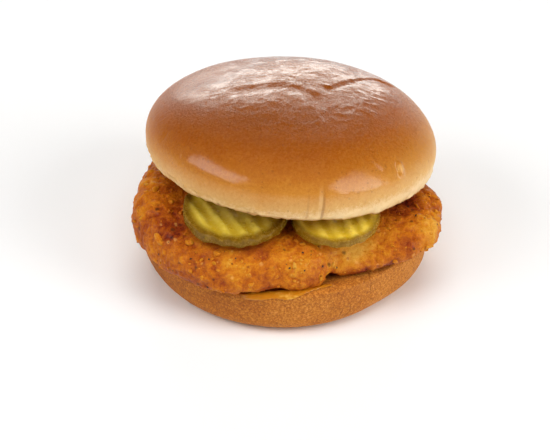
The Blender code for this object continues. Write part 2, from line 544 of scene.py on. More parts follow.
class Graph:
    """A shader tree written as a chain of short calls."""

    def __init__(self, tree: bpy.types.NodeTree) -> None:
        """Takes the tree that the calls add to."""
        self.tree = tree

    def feed(self, socket: Socket, value: object) -> None:
        """Links another node's socket to an input, or sets its own value.

        Args:
            socket: The input.
            value: A socket, a number or a colour.
        """
        if isinstance(value, Socket):
            self.tree.links.new(value, socket)
        elif socket.type == "RGBA":
            socket.default_value = (*value, 1.0)
        else:
            socket.default_value = value

    def add(self, kind: str, inputs: Optional[dict] = None, **settings: object) -> bpy.types.Node:
        """Adds a node.

        Args:
            kind: Its type, without the usual prefix.
            inputs: What its inputs are fed, by name or number.
            **settings: Its own settings.

        Returns:
            The node.
        """
        node = self.tree.nodes.new("ShaderNode" + kind)
        for setting, value in settings.items():
            setattr(node, setting, value)
        for name, value in (inputs or {}).items():
            self.feed(node.inputs[name], value)
        return node

    def math(self, operation: str, first: object, second: object = 0.0, clamp: bool = False) -> Socket:
        """Adds a Math node and returns its result."""
        node = self.add("Math", {0: first, 1: second}, operation=operation, use_clamp=clamp)
        return node.outputs[0]

    def swing(self, value: Socket, amount: object) -> Socket:
        """Turns a value from 0 to 1 into a swing of some amount about 0."""
        return self.math("MULTIPLY", self.math("SUBTRACT", value, 0.5), amount)

    def distance(self, spot: Socket, place: Sequence[float]) -> Socket:
        """Measures how far a place is."""
        return self.add("VectorMath", {0: spot, 1: place}, operation="DISTANCE").outputs["Value"]

    def noise(self, vector: Socket, size: Socket, detail: float, rough: float) -> Socket:
        """Adds cloudy noise of a feature size, in metres.

        Args:
            vector: Where it is read.
            size: The size of its features.
            detail: Its octaves.
            rough: How much the finer octaves count.

        Returns:
            Its value, from 0 to 1.
        """
        scale = self.math("DIVIDE", 1.0, size)
        inputs = {"Vector": vector, "Scale": scale, "Detail": detail, "Roughness": rough}
        return self.add("TexNoise", inputs).outputs[0]

    def fade(self, value: Socket, start: float, end: float, first: float = 0.0, last: float = 1.0) -> Socket:
        """Adds a smooth change, held past its ends, from first at start to last at end."""
        inputs = {"Value": value, 1: start, 2: end, 3: first, 4: last}
        return self.add("MapRange", inputs, interpolation_type="SMOOTHSTEP").outputs[0]

    def mix(self, share: Socket, first: object, second: object) -> Socket:
        """Adds a colour mix.

        Args:
            share: How much of the second shows.
            first: The first colour.
            second: The second colour.

        Returns:
            The mixed colour.
        """
        node = self.add("Mix", data_type="RGBA", blend_type="MIX", clamp_factor=True)
        for number, value in ((0, share), (6, first), (7, second)):
            self.feed(node.inputs[number], value)
        return node.outputs[2]

    def ramp(self, value: Socket, stops: Stops) -> Socket:
        """Adds a colour ramp.

        Args:
            value: What it reads.
            stops: The place and colour of each stop.

        Returns:
            The colour.
        """
        node = self.add("ValToRGB", {0: value})
        elements = node.color_ramp.elements
        for place, colour in stops[2:]:
            elements.new(place)
        for element, (place, colour) in zip(elements, stops):
            element.position = place
            element.color = (*colour, 1.0)
        return node.outputs[0]

    def place(self, location: Vector, rotation: Euler) -> Socket:
        """Adds the piece's own coordinates, centred and turned.

        Args:
            location: The point that becomes the origin.
            rotation: The turn that is taken out.

        Returns:
            The coordinates.
        """
        inputs = {0: self.add("TexCoord").outputs["Object"], 1: location, 2: rotation}
        return self.add("Mapping", inputs, vector_type="TEXTURE").outputs[0]

    def reach(self, parts: bpy.types.Node) -> Socket:
        """Works out the distance from the Z axis.

        Args:
            parts: The node that gives the coordinates one by one.

        Returns:
            The distance.
        """
        squares = [self.math("POWER", parts.outputs[axis], 2.0) for axis in (0, 1)]
        return self.math("SQRT", self.math("ADD", *squares))

    def bump(self, height: Socket, distance: float, normal: Optional[Socket] = None) -> Socket:
        """Adds a bump.

        Args:
            height: What stands out, from 0 to 1.
            distance: How far it does, in metres.
            normal: An earlier normal that it lies over.

        Returns:
            The normal.
        """
        node = self.add("Bump", {"Height": height, "Distance": distance, "Strength": 1.0})
        if normal is not None:
            self.feed(node.inputs["Normal"], normal)
        return node.outputs[0]

    def dent(self, mask: Socket, depth: float, normal: Socket) -> Socket:
        """Adds dents of some depth, in metres, over an earlier normal."""
        return self.bump(self.math("MULTIPLY", mask, -1.0), depth, normal)


def new_material(name: str) -> tuple[bpy.types.Material, Graph, bpy.types.Node]:
    """Starts a material.

    Args:
        name: Its name.

    Returns:
        The material, its graph and its Principled shader.
    """
    made = bpy.data.materials.new(name)
    made.use_nodes = True
    return made, Graph(made.node_tree), made.node_tree.nodes["Principled BSDF"]


class Effects:
    """The shader groups that several finishes share, each built once."""

    small_patch: float = 0.27
    patch_shares: tuple[float, float] = (0.68, 0.32)
    speck_radius: float = 0.10
    speck_variety: float = 0.22
    speck_edge: Fade = Fade(1.3, 0.5)

    @staticmethod
    def start(name: str, inputs: dict[str, float], output: str) -> tuple[Graph, dict, Socket]:
        """Starts a group with a vector and some numbers in, and one value out.

        Args:
            name: The group's name.
            inputs: The default of each number that comes in.
            output: The name of what goes out.

        Returns:
            The group's graph, its inputs by name and the socket that takes its result.
        """
        tree = bpy.data.node_groups.new(name, "ShaderNodeTree")
        tree.interface.new_socket("Vector", in_out="INPUT", socket_type="NodeSocketVector")
        for label, value in inputs.items():
            number = tree.interface.new_socket(label, in_out="INPUT", socket_type="NodeSocketFloat")
            number.default_value = value
        tree.interface.new_socket(output, in_out="OUTPUT", socket_type="NodeSocketFloat")
        entry, leaving = tree.nodes.new("NodeGroupInput"), tree.nodes.new("NodeGroupOutput")
        return Graph(tree), {socket.name: socket for socket in entry.outputs}, leaving.inputs[0]

    @classmethod
    def mottle(cls) -> bpy.types.NodeTree:
        """Soft patches of two sizes, as an oven or a fryer leaves them.

        Returns:
            The group, from Vector, Size and Contrast to Mask.
        """
        if "mottle" not in bpy.data.node_groups:
            graph, entry, leaving = cls.start("mottle", {"Size": 0.01, "Contrast": 2.0}, "Mask")
            large = graph.noise(entry["Vector"], entry["Size"], 3.0, 0.55)
            size = graph.math("MULTIPLY", entry["Size"], cls.small_patch)
            small = graph.noise(entry["Vector"], size, 3.0, 0.6)
            pairs = zip((large, small), cls.patch_shares)
            both = graph.math("ADD", *(graph.math("MULTIPLY", noise, share) for noise, share in pairs))
            spread = graph.swing(both, entry["Contrast"])
            graph.feed(leaving, graph.math("ADD", spread, 0.5, clamp=True))
        return bpy.data.node_groups["mottle"]

    @classmethod
    def specks(cls) -> bpy.types.NodeTree:
        """Scattered round specks or pores of uneven size.

        Returns:
            The group, from Vector, Spacing and Share to Mask.
        """
        if "specks" not in bpy.data.node_groups:
            graph, entry, leaving = cls.start("specks", {"Spacing": 0.002, "Share": 0.5}, "Mask")
            scale = graph.math("DIVIDE", 1.0, entry["Spacing"])
            cells = graph.add("TexVoronoi", {"Vector": entry["Vector"], "Scale": scale})
            chance = graph.add("SeparateColor", {0: cells.outputs["Color"]})
            present = graph.math("LESS_THAN", chance.outputs[0], entry["Share"])
            radius = graph.math("MULTIPLY_ADD", chance.outputs[1], cls.speck_variety)
            radius.node.inputs[2].default_value = cls.speck_radius
            inside = graph.math("DIVIDE", cells.outputs["Distance"], radius)
            graph.feed(leaving, graph.math("MULTIPLY", graph.fade(inside, *cls.speck_edge), present))
        return bpy.data.node_groups["specks"]

    @classmethod
    def grain(cls) -> bpy.types.NodeTree:
        """Fine relief of baked or fried surfaces, coarse and fine together.

        Returns:
            The group, from Vector, Coarse and Fine sizes and Fine Share to Height.
        """
        if "grain" not in bpy.data.node_groups:
            inputs = {"Coarse": 0.0015, "Fine": 0.0004, "Fine Share": 0.4}
            graph, entry, leaving = cls.start("grain", inputs, "Height")
            coarse = graph.noise(entry["Vector"], entry["Coarse"], 3.0, 0.6)
            fine = graph.noise(entry["Vector"], entry["Fine"], 2.0, 0.6)
            mixed = graph.add("Mix", {0: entry["Fine Share"], 2: coarse, 3: fine}, data_type="FLOAT")
            graph.feed(leaving, mixed.outputs[0])
        return bpy.data.node_groups["grain"]


def effect(graph: Graph, group: bpy.types.NodeTree, vector: Socket, **values: float) -> Socket:
    """Places a shared effect in a material.

    Args:
        graph: The material's graph.
        group: The effect.
        vector: The coordinates it reads.
        **values: The effect's own inputs, by name with underscores for spaces.

    Returns:
        What the effect puts out.
    """
    node = graph.tree.nodes.new("ShaderNodeGroup")
    node.node_tree = group
    graph.feed(node.inputs["Vector"], vector)
    for name, value in values.items():
        graph.feed(node.inputs[name.replace("_", " ").title()], value)
    return node.outputs[0]


# ---------------------------------------------------------------------------------------------------------
# Finishes


@dataclass(frozen=True)
class Flecks:
    """Small round marks, pores or grains of one colour, strewn through a finish."""

    spacing: float
    share: float
    strength: float
    tint: Colour

    def mask(self, graph: Graph, spot: Socket) -> Socket:
        """Where the marks are, from 0 to 1."""
        return effect(graph, Effects.specks(), spot, spacing=self.spacing, share=self.share)

    def over(self, graph: Graph, mask: Socket, colour: Socket) -> Socket:
        """Lays the marks over a colour and returns the result."""
        return graph.mix(graph.math("MULTIPLY", mask, self.strength), colour, self.tint)

    def strewn(self, graph: Graph, spot: Socket, colour: Socket) -> Socket:
        """Makes the marks and lays them over a colour in one go."""
        return self.over(graph, self.mask(graph, spot), colour)


@dataclass(frozen=True)
class Substance:
    """How a finish takes light beyond its colour: its shine, and how far the light sinks in."""

    soak: float
    soak_radius: tuple[float, float, float]
    soak_depth: float
    shine: float = 0.5
    coat_roughness: float = 0.03

    def set_on(self, shader: bpy.types.Node) -> None:
        """Sets the constants on a Principled shader.

        Args:
            shader: The shader.
        """
        shader.inputs["Specular IOR Level"].default_value = self.shine
        shader.inputs["Coat Roughness"].default_value = self.coat_roughness
        shader.inputs["Subsurface Weight"].default_value = self.soak
        shader.inputs["Subsurface Radius"].default_value = self.soak_radius
        shader.inputs["Subsurface Scale"].default_value = self.soak_depth


@dataclass(frozen=True)
class CutCrumb:
    """The crumb of a bun's cut face: pale and toasted in soft patches, with open pores."""

    pale: Colour
    toasted: Colour
    patch_size: float
    contrast: float
    holes: Flecks
    pit_depth: float = 0.0006

    def over(self, graph: Graph, spot: Socket, inside: Socket, colour: Socket) -> tuple[Socket, Socket]:
        """Lays the crumb over the crust's colour.

        Args:
            graph: The material's graph.
            spot: The coordinates.
            inside: 1 on the cut face, 0 on the crust.
            colour: The crust's colour.

        Returns:
            The colour of both, and a mask of the crumb's pits.
        """
        toast = effect(graph, Effects.mottle(), spot, size=self.patch_size, contrast=self.contrast)
        holes = self.holes.mask(graph, spot)
        crumb = self.holes.over(graph, holes, graph.mix(toast, self.pale, self.toasted))
        return graph.mix(inside, colour, crumb), graph.math("MULTIPLY", holes, inside)


@dataclass(frozen=True)
class SeamLine:
    """A line of painted highlight (pale) or painted shade (dark) beside the seam: how far past it, how wide,
    how strong and of what colour.
    """

    past: float
    width: float
    strength: float
    tint: Colour


@dataclass(frozen=True)
class CrownCrust:
    """Glossy buttered crust: dark caramel on the dome, gold below it, cream at the cut, pale crumb inside.

    Fades up the dome run on its height, as a share. Those of the seam, the blister and the cut are in metres.
    """

    place: Matrix
    height: float
    radius: float
    seam_deg: float
    blister: Vector
    stops: Stops = (
        (0.00, shade(242, 208, 152)),
        (0.10, shade(220, 168, 92)),
        (0.30, shade(199, 130, 44)),
        (0.48, shade(176, 100, 18)),
        (0.66, shade(156, 78, 6)),
        (0.84, shade(140, 67, 4)),
        (1.00, shade(144, 72, 12)),
    )
    darker_side_deg: float = 168.0
    side_tone: float = 0.17
    side_darkening: Fade = Fade(0.08, 0.50)
    patch_tone: float = 0.16
    grain_tone: float = -0.36
    pale_grain: Fade = Fade(0.42, 0.66, 0.0, 0.10)
    pale_grain_tint: Colour = shade(218, 148, 52)
    pores: Flecks = Flecks(0.0016, 0.22, 0.22, shade(112, 54, 18))
    pale_flecks: Flecks = Flecks(0.0011, 0.14, 0.14, shade(228, 166, 76))
    # Painted highlight: a pale line along the step's edge; painted shade: a darker line just past it and a
    # faint one 5 mm before it.
    seam_lines: tuple[SeamLine, ...] = (
        SeamLine(-0.0007, 0.0011, 0.34, shade(240, 200, 138)),
        SeamLine(0.0003, 0.0006, 0.46, shade(150, 88, 32)),
        SeamLine(-0.0050, 0.0006, 0.22, shade(160, 96, 38)),
    )
    seam_core: float = 0.3
    seam_length: Fade = Fade(0.0145, 0.0085)
    # A pale painted highlight on the blister.
    blister_rub: Fade = Fade(0.0022, 0.0008, 0.0, 0.55)
    blister_tint: Colour = shade(236, 186, 112)
    cut: Fade = Fade(0.0013, 0.0003)
    crumb: CutCrumb = CutCrumb(
        pale=shade(228, 190, 128),
        toasted=shade(190, 124, 56),
        patch_size=0.010,
        contrast=1.8,
        holes=Flecks(0.0019, 0.55, 0.55, shade(150, 92, 40)),
    )
    roughness: Fade = Fade(0.3, 0.7, 0.20, 0.34)
    duller_side: Fade = Fade(0.72, 0.02, 0.0, 0.36)
    duller_crumb: float = 0.35
    side_butter: Fade = Fade(0.38, 0.58, 0.68, 0.30)
    top_butter: Fade = Fade(0.68, 0.82, 0.30, 0.76)
    worn_butter: Fade = Fade(0.15, 0.80, 0.40, 1.0)
    unworn_below: Fade = Fade(0.80, 0.62)
    flank_butter: Fade = Fade(0.76, 0.94, 1.0, 0.35)
    grain_relief: float = 0.0006
    pore_depth: float = 0.00015
    crinkle_relief: float = 0.00075
    crinkled: Fade = Fade(0.76, 0.90)
    crinkle_lean: float = 0.12
    substance: Substance = Substance(0.06, (1.0, 0.45, 0.15), 0.003, shine=0.12, coat_roughness=0.18)

    def make(self) -> bpy.types.Material:
        """Builds the material.

        Returns:
            The crust, with its browning, pores, fine wrinkles and gloss.
        """
        made, graph, shader = new_material("buttered_crust")
        spot = graph.place(self.place.translation, self.place.to_euler())
        parts = graph.add("SeparateXYZ", {0: spot})
        height = graph.math("DIVIDE", parts.outputs[2], self.height)
        fine = effect(graph, Effects.grain(), spot, coarse=0.0011, fine=0.00035, fine_share=0.45)
        pores = self.pores.mask(graph, spot)
        inside = graph.fade(parts.outputs[2], *self.cut)

        colour = graph.ramp(self.tone(graph, spot, height, fine), self.stops)
        colour = graph.mix(graph.fade(fine, *self.pale_grain), colour, self.pale_grain_tint)
        colour = self.pores.over(graph, pores, colour)
        colour = self.pale_flecks.strewn(graph, spot, colour)
        colour = self.with_marks(graph, parts, colour)
        colour, pits = self.crumb.over(graph, spot, inside, colour)
        graph.feed(shader.inputs["Base Color"], colour)

        rough = graph.math("ADD", graph.fade(fine, *self.roughness), graph.fade(height, *self.duller_side))
        rough = graph.math("ADD", rough, graph.math("MULTIPLY", inside, self.duller_crumb), clamp=True)
        graph.feed(shader.inputs["Roughness"], rough)
        outside = graph.math("SUBTRACT", 1.0, inside)
        butter = graph.math("MULTIPLY", self.butter(graph, spot, height), outside)
        graph.feed(shader.inputs["Coat Weight"], butter)
        self.substance.set_on(shader)

        normal = graph.dent(pores, self.pore_depth, graph.bump(fine, self.grain_relief))
        normal = graph.bump(self.crinkle(graph, spot, height), self.crinkle_relief, normal)
        graph.feed(shader.inputs["Normal"], graph.dent(pits, self.crumb.pit_depth, normal))
        return made

    def tone(self, graph: Graph, spot: Socket, height: Socket, fine: Socket) -> Socket:
        """Works out the crust's tone: browner towards the top, and darker towards one side.

        Args:
            graph: The material's graph.
            spot: The coordinates.
            height: The height, as a share of the dome's.
            fine: The crust's grain.

        Returns:
            The tone, from 0 to 1.
        """
        parts = graph.add("SeparateXYZ", {0: spot})
        turn = math.radians(self.darker_side_deg)
        along = self.side_tone * math.cos(turn) / self.radius
        across = self.side_tone * math.sin(turn) / self.radius
        side = graph.math("MULTIPLY", parts.outputs[0], along)
        side = graph.math("ADD", side, graph.math("MULTIPLY", parts.outputs[1], across))
        darker = graph.fade(height, *self.side_darkening)
        darker = graph.math("MULTIPLY", graph.math("MAXIMUM", side, 0.0), darker)
        side = graph.math("ADD", graph.math("MINIMUM", side, 0.0), darker)
        patches = effect(graph, Effects.mottle(), spot, size=0.013, contrast=1.1)
        tone = graph.math("ADD", graph.math("ADD", height, side), graph.swing(patches, self.patch_tone))
        return graph.math("ADD", tone, graph.swing(fine, self.grain_tone), clamp=True)

    def with_marks(self, graph: Graph, parts: bpy.types.Node, colour: Socket) -> Socket:
        """Paints highlight and shade lines along the seam and a pale highlight on the blister.

        Args:
            graph: The material's graph.
            parts: The node that gives the coordinates one by one.
            colour: The crust's colour.

        Returns:
            The marked colour.
        """
        turned = graph.math("ARCTAN2", parts.outputs[1], parts.outputs[0])
        past = graph.math("SUBTRACT", turned, math.radians(self.seam_deg))
        past = graph.math("MULTIPLY", past, self.radius)
        length = graph.fade(parts.outputs[2], *self.seam_length)
        # Painted highlight and shade lines along the seam's step.
        for line in self.seam_lines:
            off = graph.math("ABSOLUTE", graph.math("SUBTRACT", past, line.past))
            drawn = graph.fade(off, line.width, line.width * self.seam_core, 0.0, line.strength)
            colour = graph.mix(graph.math("MULTIPLY", drawn, length), colour, line.tint)
        # A pale painted highlight on the blister.
        off = graph.distance(graph.add("TexCoord").outputs["Object"], self.blister)
        return graph.mix(graph.fade(off, *self.blister_rub), colour, self.blister_tint)

    def butter(self, graph: Graph, spot: Socket, height: Socket) -> Socket:
        """Spreads the butter: thick and worn in patches on top, thin in the middle, thicker again below.

        Args:
            graph: The material's graph.
            spot: The coordinates.
            height: The height, as a share of the dome's.

        Returns:
            How much butter there is, from 0 to 1.
        """
        butter = graph.fade(height, *self.side_butter)
        butter = graph.math("MAXIMUM", butter, graph.fade(height, *self.top_butter))
        worn = effect(graph, Effects.mottle(), spot, size=0.008, contrast=4.5)
        worn = graph.math("MAXIMUM", worn, graph.fade(height, *self.unworn_below))
        butter = graph.math("MULTIPLY", butter, graph.fade(worn, *self.worn_butter))
        aside = graph.math("ABSOLUTE", graph.add("SeparateXYZ", {0: spot}).outputs[0])
        flank = graph.fade(graph.math("DIVIDE", aside, self.radius), *self.flank_butter)
        return graph.math("MULTIPLY", butter, flank)

    def crinkle(self, graph: Graph, spot: Socket, height: Socket) -> Socket:
        """Crinkles the skin on top, further down on one side than on the other.

        Args:
            graph: The material's graph.
            spot: The coordinates.
            height: The height, as a share of the dome's.

        Returns:
            The crinkles' height, from 0 to 1.
        """
        crinkle = effect(graph, Effects.grain(), spot, coarse=0.0015, fine=0.0006, fine_share=0.5)
        aside = graph.add("SeparateXYZ", {0: spot}).outputs[0]
        lean = graph.math("SUBTRACT", height, graph.math("MULTIPLY", aside, self.crinkle_lean / self.radius))
        return graph.math("MULTIPLY", crinkle, graph.fade(lean, *self.crinkled))


@dataclass(frozen=True)
class HeelCrust:
    """Matte golden crust with a sandy grain, a pale foot, some fine cracks and a toasted cut face.

    Its fades run in metres, or on a pattern's own value from 0 to 1.
    """

    radius: float
    stops: Stops = (
        (0.00, shade(136, 68, 14)),
        (0.35, shade(176, 98, 26)),
        (0.62, shade(204, 128, 42)),
        (1.00, shade(230, 162, 80)),
    )
    base_tone: float = 0.26
    patch_tone: float = 0.42
    grain_tone: float = 2.5
    # Painted light: the crust is made lighter towards +X, the side the stronger front light falls on.
    side_tone: float = 0.10
    pale_foot: Fade = Fade(0.0046, 0.0008, 0.0, 0.30)
    pores: Flecks = Flecks(0.0012, 0.42, 0.42, shade(128, 66, 22))
    flour: Flecks = Flecks(0.0010, 0.20, 0.25, shade(224, 172, 104))
    cracked: Place = (0.0255, -0.0465, 0.0120)
    cracked_reach: float = 0.0150
    cracked_core: float = 0.4
    cracks_per_metre: float = 250.0
    crack_width: Fade = Fade(0.10, 0.02)
    crack_patches: Fade = Fade(0.35, 0.60)
    crack_strength: float = 0.45
    crack_tint: Colour = shade(140, 74, 22)
    facing_up: Fade = Fade(0.55, 0.90)
    cut_level: Fade = Fade(0.010, 0.014)
    fringe: Fade = Fade(0.0055, 0.0110)
    crumb: CutCrumb = CutCrumb(
        pale=shade(206, 146, 68),
        toasted=shade(160, 88, 26),
        patch_size=0.008,
        contrast=2.2,
        holes=Flecks(0.0018, 0.55, 0.55, shade(132, 74, 26)),
    )
    roughness: Fade = Fade(0.3, 0.7, 0.62, 0.82)
    grain_relief: float = 0.0007
    pore_depth: float = 0.00022
    crack_depth: float = 0.00030
    substance: Substance = Substance(0.06, (1.0, 0.45, 0.15), 0.003, shine=0.25)

    def make(self) -> bpy.types.Material:
        """Builds the material.

        Returns:
            The crust, with its grain, specks, cracks and toasted cut face.
        """
        made, graph, shader = new_material("heel_crust")
        spot = graph.add("TexCoord").outputs["Object"]
        parts = graph.add("SeparateXYZ", {0: spot})
        patches = effect(graph, Effects.mottle(), spot, size=0.016, contrast=1.7)
        fine = effect(graph, Effects.grain(), spot, coarse=0.0008, fine=0.0003, fine_share=0.4)
        tone = graph.math("ADD", graph.swing(fine, self.grain_tone), self.base_tone)
        tone = graph.math("ADD", graph.math("MULTIPLY", patches, self.patch_tone), tone)
        # Painted light, lighter towards +X.
        side = graph.math("MULTIPLY", parts.outputs[0], self.side_tone / self.radius)
        foot = graph.fade(parts.outputs[2], *self.pale_foot)
        tone = graph.math("ADD", graph.math("ADD", tone, side), foot, clamp=True)
        pores = self.pores.mask(graph, spot)
        colour = self.pores.over(graph, pores, graph.ramp(tone, self.stops))
        colour = self.flour.strewn(graph, spot, colour)
        cracks = self.cracks(graph, spot, patches)
        colour = graph.mix(graph.math("MULTIPLY", cracks, self.crack_strength), colour, self.crack_tint)
        colour, pits = self.crumb.over(graph, spot, self.cut_face(graph, parts), colour)
        graph.feed(shader.inputs["Base Color"], colour)
        graph.feed(shader.inputs["Roughness"], graph.fade(fine, *self.roughness))
        self.substance.set_on(shader)

        normal = graph.dent(pores, self.pore_depth, graph.bump(fine, self.grain_relief))
        normal = graph.dent(cracks, self.crack_depth, normal)
        graph.feed(shader.inputs["Normal"], graph.dent(pits, self.crumb.pit_depth, normal))
        return made

    def cracks(self, graph: Graph, spot: Socket, patches: Socket) -> Socket:
        """Draws a net of fine cracks over one part of the side.

        Args:
            graph: The material's graph.
            spot: The coordinates.
            patches: The crust's patches, which break the net up.

        Returns:
            The cracks, from 0 to 1.
        """
        inputs = {"Vector": spot, "Scale": self.cracks_per_metre}
        network = graph.add("TexVoronoi", inputs, feature="DISTANCE_TO_EDGE")
        cracks = graph.fade(network.outputs["Distance"], *self.crack_width)
        away = graph.distance(spot, self.cracked)
        near = graph.fade(away, self.cracked_reach, self.cracked_reach * self.cracked_core)
        near = graph.math("MULTIPLY", near, graph.fade(patches, *self.crack_patches))
        return graph.math("MULTIPLY", cracks, near)

    def cut_face(self, graph: Graph, parts: bpy.types.Node) -> Socket:
        """Finds the cut face, by where the bread faces up, high enough and inside its rim.

        Args:
            graph: The material's graph.
            parts: The node that gives the coordinates one by one.

        Returns:
            1 on the cut face, 0 on the crust.
        """
        up = graph.add("SeparateXYZ", {0: graph.add("NewGeometry").outputs["True Normal"]}).outputs[2]
        level = graph.fade(parts.outputs[2], *self.cut_level)
        level = graph.math("MULTIPLY", graph.fade(up, *self.facing_up), level)
        start, end = self.radius - self.fringe.start, self.radius - self.fringe.end
        return graph.math("MULTIPLY", level, graph.fade(graph.reach(parts), start, end))


@dataclass(frozen=True)
class ToneSpot:
    """A spot where the breading's tone is darkened, or lightened where the change is above 0: some are fried
    tone, some painted shade.
    """

    middle: Place
    reach: float
    change: float


@dataclass(frozen=True)
class Breading:
    """Fried breading: red-brown in its patches, a little oily, with painted shade that darkens its hollows and
    leaves it gold where it stands proud.
    """

    tone_spots: tuple[ToneSpot, ...]
    stops: Stops = (
        (0.00, shade(84, 20, 6)),
        (0.20, shade(134, 46, 8)),
        (0.40, shade(168, 78, 8)),
        (0.60, shade(198, 108, 13)),
        (0.80, shade(214, 137, 27)),
        (1.00, shade(226, 164, 60)),
    )
    base_tone: float = -0.11
    patch_tone: float = 0.44
    grain_tone: float = 0.90
    relief_tone: float = 0.34
    spot_core: float = 0.2
    pepper: Flecks = Flecks(0.0031, 0.24, 0.72, shade(62, 26, 12))
    paprika: Flecks = Flecks(0.0021, 0.24, 0.5, shade(150, 44, 14))
    flour: Flecks = Flecks(0.0026, 0.20, 0.45, shade(238, 178, 92))
    roughness: Fade = Fade(0.3, 0.7, 0.34, 0.62)
    oil: Fade = Fade(0.3, 0.8, 0.14, 0.02)
    grain_relief: float = 0.0011
    substance: Substance = Substance(0.04, (1.0, 0.35, 0.08), 0.0025, shine=0.14, coat_roughness=0.30)

    def make(self, name: str = "fried_breading", lift: float = 0.0) -> bpy.types.Material:
        """Builds the material.

        Args:
            name: The material's name.
            lift: How much paler than the fillet's own surface it is.

        Returns:
            The breading.
        """
        made, graph, shader = new_material(name)
        spot = graph.add("TexCoord").outputs["Object"]
        relief = graph.add("Attribute", attribute_name="relief").outputs["Fac"]
        patches = effect(graph, Effects.mottle(), spot, size=0.011, contrast=2.1)
        fine = effect(graph, Effects.grain(), spot, coarse=0.0013, fine=0.0005, fine_share=0.40)
        tone = graph.math("MULTIPLY", patches, self.patch_tone)
        tone = graph.math("ADD", tone, graph.math("MULTIPLY", fine, self.grain_tone))
        # Painted shade: the tone falls, darker, in the relief's hollows and rises, paler, where it stands
        # proud.
        tone = graph.math("ADD", tone, graph.math("MULTIPLY", relief, self.relief_tone))
        tone = graph.math("ADD", tone, self.base_tone + lift)
        # Fried tone, with painted shade in the gaps under the fillet's lower edge and below the crown.
        for fried in self.tone_spots:
            away = graph.distance(spot, fried.middle)
            change = graph.fade(away, fried.reach, fried.reach * self.spot_core, 0.0, fried.change)
            tone = graph.math("ADD", tone, change)
        colour = graph.ramp(graph.math("ADD", tone, 0.0, clamp=True), self.stops)
        for flecks in (self.pepper, self.paprika, self.flour):
            colour = flecks.strewn(graph, spot, colour)
        graph.feed(shader.inputs["Base Color"], colour)
        graph.feed(shader.inputs["Roughness"], graph.fade(fine, *self.roughness))
        graph.feed(shader.inputs["Coat Weight"], graph.fade(patches, *self.oil))
        self.substance.set_on(shader)
        graph.feed(shader.inputs["Normal"], graph.bump(fine, self.grain_relief))
        return made


@dataclass(frozen=True)
class PepperSpecks:
    """Nearly black ground pepper."""

    dark: Colour = shade(34, 20, 12)
    brown: Colour = shade(84, 40, 16)
    roughness: Fade = Fade(0.0, 1.0, 0.4, 0.7)

    def make(self) -> bpy.types.Material:
        """Builds the material.

        Returns:
            The pepper, from black to brown.
        """
        made, graph, shader = new_material("ground_pepper")
        spot = graph.add("TexCoord").outputs["Object"]
        patches = effect(graph, Effects.mottle(), spot, size=0.004, contrast=3.0)
        graph.feed(shader.inputs["Base Color"], graph.mix(patches, self.dark, self.brown))
        graph.feed(shader.inputs["Roughness"], graph.fade(patches, *self.roughness))
        return made


